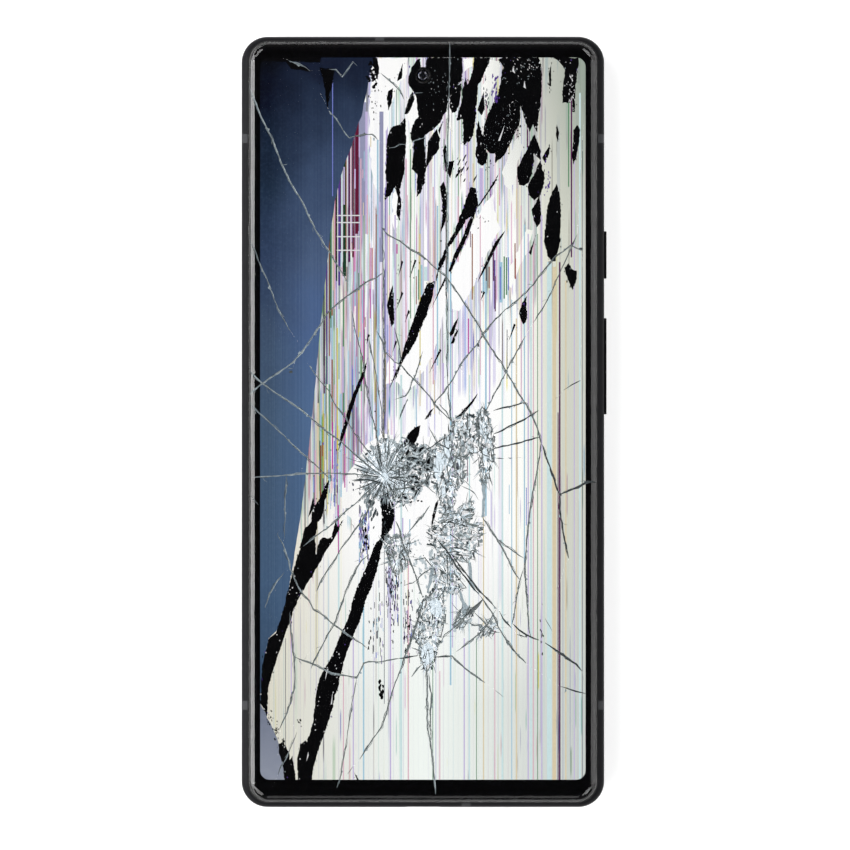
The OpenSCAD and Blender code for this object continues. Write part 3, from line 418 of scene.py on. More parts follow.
# Cracks: width, with a d where they are deep, then the way they run
CRACKS = """
0.30 -37,71.5 -34.5,65 -32,60 -30,54.8 -28,50.5 -25.4,46.4 -24.2,43.5 -22.8,40.8 -20.9,37.6 -19,34.7
 -17.3,31.9 -16,29.7
0.22 -37,39 -35.5,36 -34.7,33.5 -33,30 -31.2,25 -29.8,22 -28,19
0.34 -37,5.8 -34,8.3 -30,11 -27.5,12.8 -25.8,14.8 -24,17.5 -22,20.2 -20,23.4 -18,25.3 -16,26.8 -14,28.2
 -12,29.8 -10,30.6 -8.6,31.7
0.30 -37,11 -35.2,9 -34,8 -32.5,7 -31,6 -29.5,5 -28,4 -25.5,2.3 -23.5,0.6 -20.5,-2 -19,-3 -17,-4.6 -15,-6.5
 -13,-8.2 -10,-10.5 -8,-12
0.22 -24.2,12 -22.3,9.2 -20,6.6 -19,4.2 -16.5,0.8 -13.5,-4 -10.5,-7.5
0.24 -37,4.2 -35,2 -33,0.2 -29.5,-3 -27.5,-5 -25,-7.2 -23,-9 -21,-11 -19.8,-12
0.20 5.7,80.6 5.6,70 5.3,60 5.1,50 5.1,20 5.2,10 5.6,4 6,0
0.32 -8.8,41.5 -7.5,39.8 -5,38.5 -3,37 -1,35.8 0.8,34.5 2.5,32.8 4.8,31 6,29.5 8,26.5 10,23.3 11.5,21.2
 12.7,18.8 14,16.5 15.5,14.2 16.7,12.7 17.7,10.7 19,8.5 20.4,6 21.5,4.4 22.8,2.2 23.8,0 24.6,-2 25.1,-4.5
 24.8,-7.5 24.2,-11 23.4,-15 22.7,-20 22.1,-25 21.7,-31 22,-36 22.3,-40 22.6,-44.5 22.9,-45.5
0.26 21.5,-31 20.6,-34 20,-37 19.3,-41.5 19,-43
0.24 32.8,39.8 31.6,37.2 30.5,34.5 29,31.5 27.5,28 25.5,24.2 23.4,21
0.24 21.8,18.2 20,15 17.7,10.7 15.8,7 14.5,4.5 13,1.5
0.28 34,36.5 32.5,37 31.5,37.6 29.8,36.2 28,35.2 26,32.5 24,30 22,27.5 20,25.8 17.5,23.8 15,21.3 13,19
 11.5,16.4 10,14.8 8,12 6.3,9 4.5,6.3 2.2,4
0.18 -8.6,41 -8.4,28 -8.5,22 -8.1,14 -8.4,5 -8.3,-4
0.22 -15.1,23.5 -14.5,20 -13.6,16.5 -12.7,13 -12.3,9 -11.7,5.5 -11,2.3 -10,-2 -9,-8
0.20 -11.5,18 -10.8,14.5 -10,10.5 -9.3,6 -8.8,2.5 -8.6,-2
0.26 -9.8,19.3 -8.6,17 -8.2,15 -6,12.8 -4.5,12 -3.3,10.5 -2.2,9.4 -1.2,8.3 0,7 1.5,5.3 2.5,3.8 3.5,2.6 6,0.3
0.24 0,15 -0.8,12.5 -1.5,10 -2.3,8.6 -2.9,6.5 -3.6,5.5 -6,4.7
0.20 -3.3,5 -4.2,2.5 -5,0.5
0.50d 37,-12.8 35,-12.8 33,-13.9 31,-14.7 29.2,-15.4
0.34d 29.2,-15.4 28.6,-14.5 28,-12.3 27.2,-10.2 26.6,-8.5 25.4,-4.8
0.34d 29.2,-15.6 29.1,-18.5 29.4,-20.5 29.9,-23.5 31,-29
0.40d 24.7,-3.3 23,-3.7 20,-4.6 17,-5.2 15,-5.7
0.34d 21.5,4.1 19,3.3 17,3 15,2.4
0.32d 15,-2.6 17,-1.8 18.3,-0.9 21.5,0.5 24.6,2.4
0.24d 15.5,-7.7 17.2,-7.8
0.24d 18.1,-7.6 19,-7.7
0.20d 19.8,-7.7 20.8,-7.6
0.30d 30,6.8 31,7.5 33.5,8.8
0.24d 28,5 28.7,5.2
0.34 12.6,-20.2 14,-22.3 15.5,-24.5 17,-27 18.3,-29.5 19.3,-31.8 20.6,-33.5
0.24 15.5,-24.5 17.5,-26.2 19.5,-27.7 21.5,-29
0.40d 19.2,-43 20.5,-44.3 22,-45.3 24.7,-46.4
0.30d 20,-45.2 21.8,-45.8
0.42d 26,-47 28,-48.3 29.7,-49.5 31,-50.5 32.5,-51.5 33.9,-53.1
0.24 26,-41.8 27.5,-44.5
0.30d 29,-56.2 30.2,-56.5 31.5,-57 34.7,-57.8
0.22 30.4,-56.6 30.1,-57.6
0.34 2.5,-50 6.2,-49.8 7.5,-51.2 10,-53.2 12,-54.6 13.3,-55.5
0.24 15.4,-57.1 17,-58.4
0.26 7,-48.9 9,-47.5 10.5,-46.3 11.8,-45.2 13.2,-43.8 14.2,-42.3 15,-41
0.40d 2.8,-24.6 4.2,-26.4 5.5,-28 7,-30.5 9,-33 10.5,-35 12,-36.8
0.32 12,-36.8 13.5,-38.8 15,-41 16,-43.5 18,-46.8 20,-49.3 22,-51.4
0.32d 6,-28 8,-30.8 10,-33.3 11.5,-35.3 12.8,-36.8 14.5,-38.5 15.7,-39.7
0.30 10.7,-40.3 12.5,-42 13.8,-43.5 15.2,-44.7 16.5,-44.8
0.34d 16.2,-40.2 17.5,-42.5 18.8,-43.8
0.75d 12.7,-37.8 11.8,-38.9 10.4,-40.1 8.9,-41.3
0.60 10,-39 9.3,-41 8,-42.6 6.4,-44
0.36 0.8,-52 1,-56 0.9,-60 1,-65 1.7,-68.5 2.1,-72 2.4,-75.5 2.7,-79.2
0.22 1.2,-53.5 1.8,-58 1.6,-62 1.7,-68
0.20 -29,-11.3 -29.3,-15 -29.3,-20 -29.5,-25
0.28 -31,-23.8 -29.8,-26 -28.8,-28.8 -28.2,-31.3 -27.2,-33.8 -26,-36 -24.2,-38 -23.3,-39.8 -21,-41.3 -19,-43
 -17,-44.5 -15,-46 -13,-47.2 -12,-48
0.28 -28.3,-40.5 -28.2,-43.5 -27.8,-47 -27.4,-50.5 -27.2,-54 -27.4,-57 -28.2,-60 -29.3,-62.8 -30.5,-65.3
0.32 -27.2,-50 -25.5,-50.7 -23.5,-51.4 -21.5,-52.5 -19.5,-53.4 -17,-53.9 -14,-54.3 -13.3,-53 -12.6,-51.3
 -11.5,-51 -9.5,-51.1 -7.5,-50.7 -5,-50.3
0.46d -5,-50.3 -3.3,-50.1 -1,-49.7
0.36d 2.4,-50 4.2,-49.9 6.2,-49.8
0.18 -14,-54.3 -14.5,-57 -15.2,-60.5 -16,-66 -16.6,-70 -17.4,-75 -18.3,-77.8
0.26 -1.9,-44.8 -3,-47.4 -3.6,-49 -4.5,-52 -5.8,-55.3 -6.8,-58.5 -7.8,-62 -8.7,-64.8 -10.5,-67.2 -12.3,-70
 -13.5,-71.8
0.20 -14.9,-73.3 -16.1,-75
0.28 -11.5,-28.2 -13,-29.5 -14,-31 -16,-35 -17.8,-40 -18.8,-43 -20,-45 -21.5,-47.8 -23,-50.5 -23.8,-52.5
0.28 -22.6,-36 -21.5,-33.5 -20,-31 -18.5,-29 -17.2,-26.5 -15.8,-25 -14.5,-23 -13,-21 -11.5,-18.5 -10.3,-16
 -9,-13.5
0.24 -25.5,-26.5 -22,-23.7 -20.5,-22.8 -18.5,-21 -16.5,-19 -14.5,-17.5 -12.5,-15.5 -10.5,-13.8
0.26 -36.3,-11.8 -31,-11.5 -25,-11 -20,-10.9 -14.5,-11.1 -9.5,-11.5
0.40d -15,-12.4 -12.5,-12.2 -8.5,-13
0.22 -36.5,-15.9 -35,-17.6
0.24 -29.5,-32 -31,-33.9 -32.5,-36.5 -33.6,-39.5
0.22 -26.8,-66 -27.6,-68 -28.8,-71 -30,-73.2 -30.8,-75.2
0.22 -28.5,76.8 -27,76.2 -25,75.4 -24,74.6
0.22 -20,75 -18.5,75 -17.6,73.9 -17.2,73.3 -15.9,75.2 -14.9,76.6 -14,75.8
0.26 -20,66.2 -18.5,64.5 -17,62 -15.6,60.4 -14.5,60.8 -12.5,61.2 -10.8,61.1 -9.6,60
0.24 -9,74.2 -7.5,73 -6,71.6 -4.8,70.3 -4,68.5
0.22 -7,58.3 -6,58.4 -5,59 -3.5,58.9
0.22 -2.5,59.5 -1,60.1 0.5,60.5
0.20 -2.5,69.3 -1.5,69.9 0,70
0.26 -6,20 -5,16 -4.6,13.2
0.26d 5.5,-3 4,-3.8 2,-5.2 0,-6.4
0.26 1.2,-1 2.2,-3 3.6,-5.4
0.30d 5.4,-0.4 5.6,-2.8
0.24 3.4,3.8 5,2.2 5.8,0.2
0.24 -7.4,-14.4 -4,-14.2 -1.6,-13.6 0.4,-12.8 1.6,-11.4 2,-9.6
0.24 0.4,-13 1.8,-14.6 3,-15.4
0.22 8.2,-13.6 10,-14.4 11.2,-15.4 11.8,-16.6
0.30 14,-9.8 14.2,-12 14.8,-13.6
0.30 10.6,-8.9 12,-7.6
0.30 1.5,-17.8 0,-20 -1.6,-21.6 -3.4,-24
0.24 -8.6,-24.2 -6.6,-24.6 -4.8,-24.2
0.30 -5.8,-21 -4.8,-23.4 -4.2,-26 -3,-29 -2,-31.4 -0.8,-35 0,-37.4
0.26 -2,-29.4 -0.6,-29.2 0.4,-28.8 1.2,-29.8 2,-31
0.26 2,-31 0.4,-32 -0.8,-33 -1.4,-34.4
0.24 -4,-34.8 -2.2,-34.2 -1.2,-33.6
0.30 0.2,-37.6 -0.8,-41 -2,-45 -3.4,-49.4
0.30 0.4,-38 2,-36.4 3.2,-34.6
0.26 5.2,-27.6 5.3,-32 5.2,-35
0.26 -2,-45.6 -1,-47.2 0,-48.4
0.26 -2.4,-48 -0.6,-48.6
0.26 3.8,-47 4.6,-45.2 6.4,-44
0.26 9.4,-42.6 11,-43.3 12.6,-43.1
0.20 6,-40.4 8.6,-40.5
0.42 -2.4,-54.2 -1.4,-52.8 -0.2,-51.6
"""

# Wedges of splintered glass beside the cracks: tone, then outline
WEDGES = """
grey 12.3,-12 13.4,-12.4 13.3,-16 13.1,-20.2 12.4,-20.3 12.7,-16
grey 2.1,-29.6 2.6,-30.6 1.9,-34 1.2,-36.4 0.8,-36.4 1.3,-33.6 1.6,-31
grey 7.4,-35.6 8,-35.8 9,-38.4 10.1,-39.6 9.4,-41 8.5,-41.4 8.3,-38.6
grey 9.6,-30 10.2,-29.8 10.7,-34.2 11.4,-36.2 10.6,-35.8 9.9,-33.6
blue -6.4,-12.6 -7.8,-12.4 -8.8,-13 -7.6,-14 -5.8,-14.8 -3.6,-15.2 -2.8,-14.4 -4.6,-13.6
blue -9.2,-11.2 -8.4,-10.6 -7.6,-11.2 -7,-12.2 -6.6,-13.2 -7.4,-13 -8.4,-12.4
blue 2.4,-8.2 3.4,-6.4 4.4,-6.8 4.6,-9 3.8,-11.2 2.6,-11.6 2.2,-10
blue 4.4,-3.8 5.6,-2.6 6,-5.6 5.6,-8 4.6,-6.6
blue 0.2,-47.4 1.2,-46.8 2,-47.8 2.4,-49.6 1.8,-51.4 0.6,-51.8 -0.2,-50.4 -0.4,-48.8
blue 0.9,-38.7 1.4,-40 2.4,-41.4 4,-41.8 4.2,-39.6 3.4,-37.6 2,-37.4
blue 12.6,-5.8 13.6,-5.6 13.9,-7.6 13.2,-8.4 12.4,-7.6
"""

# Nicks where cracks start, cross or end
NICKS = """
-12.3,29.7 3.9,38.5 -8.3,41 11.8,16.4 21.1,4.2 2.6,4.2 -1.9,9.2 -4.8,12 -10.2,2.2 -35.9,6.4 12.6,18.8
 17.7,10.7 5,30.6 33.6,36.8 -26.2,14.6 -8.4,15 18,-46.8 21.9,-45.6 29.2,-15.4 -12.4,61.2 -10.4,60.2 -19,-3
 -23.8,-51.4 -13.2,-53.4 -3.4,-49.8 24.6,-2.6 8,12 -28,10.6 6,-50.2
"""

# Crushed patches: size of the pieces, share that is splintered, shares of white, blue, grey and dark, outline
PATCHES = """
0.75 0.85 42,36,17,5 -12.2,-8.6 -11.4,-6.2 -9.6,-4.2 -7.4,-3.6 -5.4,-5 -5,-8 -5.6,-10 -5.2,-12.6 -7,-15
 -9.4,-16 -11.4,-14.4 -12.4,-11.6
1.05 0.14 20,26,34,20 -5.4,-5.6 -2.6,-5 1.4,-5.4 2,-8 1.8,-11 0,-13 -2,-16.8 -4.6,-17.6 -6.2,-16 -5.4,-12
 -5,-9
0.85 0.72 14,44,30,12 2,-6.4 3.6,-4 5.6,-2.8 6.4,-6.4 8.4,-8 9,-11.6 7,-14 6.4,-18 4.8,-18.8 3.4,-15.6
 2.2,-12.4
0.85 0.55 16,26,36,22 6.4,0.4 8.6,1.2 11.6,1 11.8,-2.6 11.6,-6.4 8.4,-7.6 6.4,-6.4 6,-3
0.70 0.76 12,44,34,10 12.6,3 13.8,1.8 14.8,-2.6 15.2,-7.6 14,-10.4 13.6,-13 12.4,-12.8 12,-9 12.6,-5.4
 11.6,-2.4 11.6,0.8
0.80 0.78 10,36,42,12 3.8,-18.4 5,-17.4 6.6,-19.4 8.6,-17.6 10.6,-16.6 10.4,-20.4 8.4,-21.8 5.6,-21.8
 3.8,-21
0.85 0.42 30,26,32,12 2.2,-21.6 4.4,-21.2 9,-22 12.6,-21.6 12,-25 10.8,-28.4 8.6,-29.8 6,-28.4 3.6,-27.4
 1.6,-26 1.6,-23.4
0.80 0.62 14,44,32,10 -8.2,-24.2 -6,-24.6 -3.2,-24.4 -2.8,-27.6 -3.6,-30.4 -5.4,-32.4 -6.6,-31 -7.6,-28
1.10 0.45 24,26,34,16 1.6,-28.6 4.6,-28 6.4,-30 7.6,-33.4 9,-35.4 7,-36.4 4.6,-35.6 2.6,-33.8 2.2,-31
0.85 0.55 22,40,26,12 0.2,-37.6 2.6,-35.6 4.6,-36 4.6,-41 3.8,-45.4 2.8,-48.6 2.6,-51.2 1,-52.6 -0.4,-51.4
 -1,-47.4 -2.2,-45.4 -1,-41
0.80 0.70 10,34,40,16 7.6,-40.6 9.6,-39.4 10.6,-41 9.2,-42.8 7.4,-44 6.6,-43.6
0.80 0.60 14,30,38,18 12.6,-43.2 14.2,-42 15.2,-43.6 14.6,-45 13.2,-45.2 11.8,-45.8
"""

# ---------------------------------------------------------------- materials


def lin(rgb):
    """Linear colour from three display values of 0 to 255."""
    parts = (c / 255 for c in rgb)
    return tuple((v / 12.92 if v <= 0.04045 else ((v + 0.055) / 1.055) ** 2.4) for v in parts) + (1.0,)


def palette(text):
    return [lin(rgb) for rgb in points(text)]


def stops(text):
    """Stops of a colour ramp, each written as place:red,green,blue."""
    pairs = [stop.split(":") for stop in text.split()]
    return [(float(place), palette(rgb)[0]) for place, rgb in pairs]


class Graph:
    """Short-hand for a material's nodes."""

    def __init__(self, name):
        self.mat = bpy.data.materials.new(name)
        self.mat.use_nodes = True
        self.tree = self.mat.node_tree
        self.bsdf = self.tree.nodes["Principled BSDF"]
        self.kept = {}

    def node(self, kind, **values):
        n = self.tree.nodes.new(kind)
        for key, value in values.items():
            setattr(n, key, value)
        return n

    def link(self, a, b):
        self.tree.links.new(a, b)

    def put(self, value, socket):
        if hasattr(value, "is_linked"):
            self.link(value, socket)
        else:
            socket.default_value = value

    def math(self, op, a, b=0.0, clamp=False):
        n = self.node("ShaderNodeMath", operation=op, use_clamp=clamp)
        self.put(a, n.inputs[0])
        self.put(b, n.inputs[1])
        return n.outputs[0]

    def mix(self, factor, a, b, blend="MIX"):
        n = self.node("ShaderNodeMix", data_type="RGBA", blend_type=blend)
        for number, value in ((0, factor), (6, a), (7, b)):
            self.put(value, n.inputs[number])
        return n.outputs[2]

    def ramp(self, factor, colours, interpolation="LINEAR"):
        n = self.node("ShaderNodeValToRGB")
        n.color_ramp.interpolation = interpolation
        fill_ramp(n.color_ramp, colours)
        self.put(factor, n.inputs[0])
        return n.outputs[0]

    def spread(self, value, a, b, c, d):
        """The value, carried from the range a to b onto the range c to d."""
        n = self.node("ShaderNodeMapRange")
        for socket, v in zip(n.inputs, (value, a, b, c, d)):
            self.put(v, socket)
        return n.outputs[0]

    def place(self):
        if "place" not in self.kept:
            self.kept["place"] = self.node("ShaderNodeTexCoord").outputs["Object"]
        return self.kept["place"]

    def axes(self):
        """The place on the object in millimetres, as three numbers."""
        if "axes" not in self.kept:
            scaled = self.node("ShaderNodeVectorMath", operation="SCALE")
            self.link(self.place(), scaled.inputs[0])
            scaled.inputs["Scale"].default_value = 1000.0
            split = self.node("ShaderNodeSeparateXYZ")
            self.link(scaled.outputs[0], split.inputs[0])
            self.kept["axes"] = split.outputs
        return self.kept["axes"]

    def noise(self, per_mm, detail=3.0, roughness=0.5, stretch=(1, 1, 1)):
        """Noise with this many lumps a millimetre, squeezed along each axis by stretch."""
        mapping = self.node("ShaderNodeMapping")
        self.link(self.place(), mapping.inputs["Vector"])
        mapping.inputs["Scale"].default_value = tuple(1000.0 * s for s in stretch)
        n = self.node("ShaderNodeTexNoise")
        self.link(mapping.outputs[0], n.inputs["Vector"])
        n.inputs["Scale"].default_value = per_mm
        n.inputs["Detail"].default_value = detail
        n.inputs["Roughness"].default_value = roughness
        return n.outputs[0]

    def bump(self, height, strength, distance_mm):
        n = self.node("ShaderNodeBump")
        n.inputs["Strength"].default_value = strength
        n.inputs["Distance"].default_value = distance_mm * MM
        self.link(height, n.inputs["Height"])
        self.link(n.outputs[0], self.bsdf.inputs["Normal"])

    def set(self, **values):
        for key, value in values.items():
            self.put(value, self.bsdf.inputs[key.replace("_", " ")])


def fill_ramp(ramp, colours):
    while len(ramp.elements) < len(colours):
        ramp.elements.new(0.5)
    for element, (place, colour) in zip(ramp.elements, colours):
        element.position = place
        element.color = colour


def finish_of(name, dark, light, rough, per_mm=1.5, metal=0.0, grain=(1, 1, 1), bump=0.15, fine=12, **sockets):
    """A surface whose colour and roughness wander between two values, with a fine bump."""
    g = Graph(name)
    cloud = g.noise(per_mm, 4, 0.6, grain)
    g.set(Base_Color=g.ramp(cloud, [(0.35, lin(dark)), (0.65, lin(light))]), Metallic=metal)
    g.set(Roughness=g.spread(g.noise(per_mm * 2.5, 5, 0.65, grain), 0.3, 0.7, *rough))
    if bump:
        g.bump(g.noise(fine, 2, 0.5, grain), bump, 0.01)
    g.set(**sockets)
    return g.mat


# What the screen shows

GLOW = 1.07      # makes up for what the cover glass takes from the picture


def lit(name, tone_of):
    """A part of the picture: it gives its own light. tone_of(graph) gives its colour."""
    g = Graph(name)
    g.set(Base_Color=(0.001, 0.001, 0.001, 1), Roughness=0.5, Specular_IOR_Level=0.0,
          Emission_Strength=GLOW, Emission_Color=tone_of(g))
    return g.mat


def plain(rgb):
    """One colour that is a little darker in places."""
    colour = lin(rgb)
    darker = tuple(0.86 * c for c in colour[:3]) + (1,)
    return lambda g: g.mix(g.noise(1.2, 3), colour, darker)


def columns(g, pitch, seed):
    """Number of the column of the screen, and three random numbers for it."""
    column = g.math("FLOOR", g.math("ADD", g.math("DIVIDE", g.axes()[0], pitch), seed))
    n = g.node("ShaderNodeTexWhiteNoise", noise_dimensions="1D")
    g.link(column, n.inputs["W"])
    split = g.node("ShaderNodeSeparateColor")
    g.link(n.outputs["Color"], split.inputs[0])
    return column, split.outputs


def even_steps(colours):
    return [(i / len(colours), c) for i, c in enumerate(colours)]


def light_tone(g):
    """The plain light: whitest in the middle, yellowish to the right, grey at the top right."""
    x, y, _ = g.axes()
    across = g.spread(x, -35, 35, 0, 1)
    middle = g.ramp(across, stops("0:226,222,210 0.12:230,226,212 0.2:244,243,238 0.33:255,255,255 "
                                  "0.7:255,255,255 0.8:254,255,250 0.87:228,229,216 0.93:210,212,199 "
                                  "1:206,208,200"))
    foot = g.ramp(across, stops("0:216,213,196 0.3:230,233,228 0.5:242,248,243 0.75:222,227,222 "
                                "0.9:206,212,207 1:200,206,201"))
    head = g.ramp(across, stops("0.3:252,252,252 0.68:252,252,248 0.78:210,212,206 0.9:186,190,180 "
                                "1:142,156,144"))
    tone = g.mix(g.spread(y, -24, -60, 0, 1), middle, foot)
    return g.mix(g.spread(y, 40, 70, 0, 0.95), tone, head)


def clear_tone(g):
    """Light with faint veils in it."""
    veil = g.noise(0.5, 4, 0.7, (2.2, 0.05, 1))
    return g.mix(g.spread(veil, 0.5, 0.7, 0, 0.22), light_tone(g), lin((214, 214, 226)), "MULTIPLY")


BRIGHT_LINES = palette("""172,160,216 236,238,242 222,168,204 112,96,180 140,200,194 190,182,230 190,84,172
 146,192,232 92,150,108 224,204,190 132,92,80 92,112,208 238,226,104 62,56,88 120,188,176 186,220,206""")
VIVID_LINES = palette("""230,222,72 255,255,255 204,64,184 172,156,214 96,190,200 244,240,246 96,156,84
 214,170,206 146,92,66 88,96,204 200,226,206 58,50,66 228,150,170 160,200,236""")
PALE_LINES = palette("""206,200,234 238,242,242 226,222,240 184,180,222 192,226,222 212,216,240 226,206,226
 196,220,238 198,222,202 238,230,212 184,178,176 184,198,236 242,240,202 158,158,180 212,232,234 212,232,218""")


def lines_over(g, tone, colours, reach, pitch, seed, length, amount):
    """Columns of colour over a tone, each broken up along its length. More of it shows where reach is high."""
    column, chance = columns(g, pitch, seed)
    spot = g.node("ShaderNodeCombineXYZ")
    g.put(g.math("MULTIPLY", column, 7.31), spot.inputs[0])      # so that neighbours have nothing in common
    g.put(g.math("DIVIDE", g.axes()[1], length), spot.inputs[1])
    n = g.node("ShaderNodeTexNoise")
    g.link(spot.outputs[0], n.inputs["Vector"])
    n.inputs["Scale"].default_value = 1.0
    n.inputs["Detail"].default_value = 1.0
    over = g.math("SUBTRACT", n.outputs[0], g.spread(reach, 0, 1, 0.68, 0.44))
    strength = g.spread(chance[1], 0, 1, 0.35 * amount, amount)
    on = g.math("MULTIPLY", g.spread(over, 0, 0.035, 0, 1), strength)
    return g.mix(on, tone, g.ramp(chance[0], even_steps(colours), "CONSTANT"), "MULTIPLY")


def white_tone(g):
    """The light with its coloured lines: vivid ones at the left, pale ones elsewhere."""
    x, y, _ = g.axes()
    left = g.math("MULTIPLY", g.spread(x, -13, -6, 1, 0), g.spread(y, -26, -12, 0, 1))
    slope = g.math("SUBTRACT", y, g.math("MULTIPLY", x, 0.85))
    top = g.math("MULTIPLY", g.spread(slope, -6, 12, 0, 0.9), g.spread(x, 23.5, 26.5, 1, 0.22))
    reach = g.math("MAXIMUM", left, top)
    wide = g.math("ADD", g.math("MULTIPLY", reach, 0.85), g.spread(x, 12, 19, 0.18, 0.06))
    thin = g.math("ADD", g.math("MULTIPLY", reach, 0.8), g.spread(x, 12, 19, 0.22, 0.1))
    tone = lines_over(g, light_tone(g), PALE_LINES, wide, 0.62, 40, 60, 0.8)
    tone = lines_over(g, tone, PALE_LINES, thin, 0.24, 17, 70, 0.9)
    tone = lines_over(g, tone, BRIGHT_LINES, g.math("MULTIPLY", reach, 0.62), 0.24, 61, 24, 0.85)
    tone = lines_over(g, tone, VIVID_LINES, left, 0.28, 93, 26, 1.0)
    # fine pale lines at even distances, towards the foot
    pitch = 1.06
    even = g.math("LESS_THAN", g.math("FRACT", g.math("DIVIDE", x, pitch)), 0.2)
    _, chance = columns(g, pitch, 0)
    faint = g.math("MULTIPLY", even, g.math("MULTIPLY", g.spread(y, 0, -36, 0, 0.5), chance[1]))
    return g.mix(faint, tone, g.ramp(chance[0], even_steps(PALE_LINES[2:8]), "CONSTANT"), "MULTIPLY")


def blue_tone(g):
    """The blue field: near black at the top, brighter towards the middle of the screen, finely mottled."""
    x, y, _ = g.axes()
    down = g.math("ADD", g.spread(y, 77, -63, 0, 1), g.spread(g.noise(0.10, 2), 0.3, 0.7, -0.03, 0.03))
    outer = g.ramp(down, stops("0:2,4,12 0.05:6,12,32 0.19:26,42,62 0.3:46,62,90 0.41:62,79,103 "
                               "0.55:69,90,114 0.82:68,92,120 1:48,68,90"))
    inner = g.ramp(down, stops("0:20,28,48 0.05:32,44,66 0.19:60,77,106 0.3:76,95,127 0.41:77,101,142 "
                               "0.55:82,109,146 0.72:78,106,140 1:66,90,118"))
    tone = g.mix(g.spread(x, -32.5, -24, 0, 1), outer, inner)
    mottle = g.spread(g.noise(1.6, 4, 0.7), 0.45, 0.7, 0, 1)
    tone = g.mix(g.math("MULTIPLY", mottle, g.spread(y, 76, 20, 0.02, 0.16)), tone, lin((96, 120, 152)))
    _, chance = columns(g, 0.24, 57)
    return g.mix(1.0, tone, g.ramp(chance[0], stops("0:234,236,242 1:255,255,255")), "MULTIPLY")


def lavender_tone(g):
    down = g.ramp(g.spread(g.axes()[1], -60, -76, 0, 1), stops("0:88,98,118 1:150,156,168"))
    return g.mix(g.noise(0.6, 4), down, lin((128, 134, 152)))


def black_tone(g):
    return g.mix(g.noise(0.8, 4), lin((0, 0, 1)), lin((3, 3, 5)))


FIELD_TONES = {"white": white_tone, "clear": clear_tone, "blue": blue_tone, "lavender": lavender_tone,
               "black": black_tone}
# greys for blots in the picture; haze, shade and murk are also painted haze and painted shade of the crushed
# glass, laid into the picture under it
BLOT_AND_SHADE_COLOURS = {
    "haze": (196, 207, 212), "shade": (134, 144, 148), "murk": (62, 70, 74), "slit": (225, 226, 228)}
LINE_COLOURS = {
    "plum": (88, 34, 84), "slate": (84, 88, 100), "ice": (206, 230, 232), "tan": (222, 208, 176),
    "leaf": (92, 140, 104), "magenta": (190, 70, 160), "crimson": (176, 50, 80), "rose": (222, 178, 196),
    "yellow": (214, 200, 92), "cobalt": (116, 128, 206), "sky": (164, 202, 222), "brown": (150, 96, 74),
    "lilac": (198, 184, 224), "wine": (98, 24, 52), "pine": (28, 62, 44), "violet": (86, 60, 140),
    "dusk": (150, 152, 182)}
SCREEN = {name: lit("screen_" + name, tone) for name, tone in FIELD_TONES.items()}
SCREEN |= {name: lit("screen_" + name, plain(rgb)) for name, rgb in BLOT_AND_SHADE_COLOURS.items()}
SCREEN |= {name: lit("line_" + name, plain(rgb)) for name, rgb in LINE_COLOURS.items()}

# Glass and ink


def clear_glass():
    g = Graph("clear_glass")
    g.set(Base_Color=(1, 1, 1, 1), Transmission_Weight=1.0, IOR=1.5,
          Roughness=g.spread(g.noise(0.35, 5, 0.7), 0.45, 0.75, 0.0, 0.03))
    return g.mat


def fracture(name, dark, light):
    """Broken glass that scatters the light."""
    g = Graph(name)
    grain = g.noise(1.9, 6, 0.85)
    g.set(Base_Color=g.ramp(grain, [(0.34, lin(dark)), (0.66, lin(light))]), Roughness=0.35)
    g.bump(g.noise(9, 3, 0.6), 0.3, 0.02)
    return g.mat


GLASS = clear_glass()
INK = finish_of("black_ink", (3, 3, 4), (7, 7, 9), (0.5, 0.6), bump=0, Specular_IOR_Level=0.0)
FRACTURE = {
    "line": fracture("fracture_line", (60, 66, 66), (128, 136, 136)),
    "deep": fracture("fracture_deep", (22, 26, 28), (72, 80, 82)),
    "light": fracture("fracture_light", (78, 88, 92), (148, 158, 162)),
    "white": fracture("splinter_white", (206, 214, 220), (244, 247, 250)),
    "blue": fracture("splinter_blue", (158, 171, 179), (204, 213, 219)),
    "grey": fracture("splinter_grey", (88, 100, 106), (150, 162, 168)),
    "dark": fracture("splinter_dark", (14, 17, 20), (58, 64, 68)),
}
TONES = ["clear"] + list(FRACTURE)       # the numbers of the tones in the glass's mesh

# ---------------------------------------------------------------- mesh helpers


def make_mesh(name, verts_mm, faces, mats, face_mats=None, smooth=True):
    """A new object. smooth is one value, or one for each face."""
    mesh = bpy.data.meshes.new(name)
    mesh.from_pydata([tuple(c * MM for c in v) for v in verts_mm], [], faces)
    for m in mats:
        mesh.materials.append(m)
    if face_mats is not None:
        mesh.polygons.foreach_set("material_index", face_mats)
    smooth = [smooth] * len(faces) if isinstance(smooth, bool) else smooth
    mesh.polygons.foreach_set("use_smooth", smooth)
    mesh.update()
    obj = bpy.data.objects.new(name, mesh)
    bpy.context.scene.collection.objects.link(obj)
    return obj


def settle(obj, slot, *nodes):
    """Every new piece rides on the phone, and stands for the nodes. slot is not used."""
    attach(obj, "phone")
    if nodes:
        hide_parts(*nodes)


def inset(x, y, hx, hy, r):
    """How far points lie inside a rounded outline (arrays)."""
    qx, qy = np.abs(x) - (hx - r), np.abs(y) - (hy - r)
    return r - np.hypot(np.maximum(qx, 0), np.maximum(qy, 0)) - np.minimum(np.maximum(qx, qy), 0)


def outward(x, y, hx, hy, r):
    """Direction from a rounded outline's middle to its rim, at each point."""
    qx, qy = np.abs(x) - (hx - r), np.abs(y) - (hy - r)
    corner = (qx > 0) & (qy > 0)
    away = np.hypot(qx, qy) + 1e-9
    nx = np.where(corner, qx / away, (qx > qy) * 1.0)
    ny = np.where(corner, qy / away, (qx <= qy) * 1.0)
    return nx * np.sign(x), ny * np.sign(y)


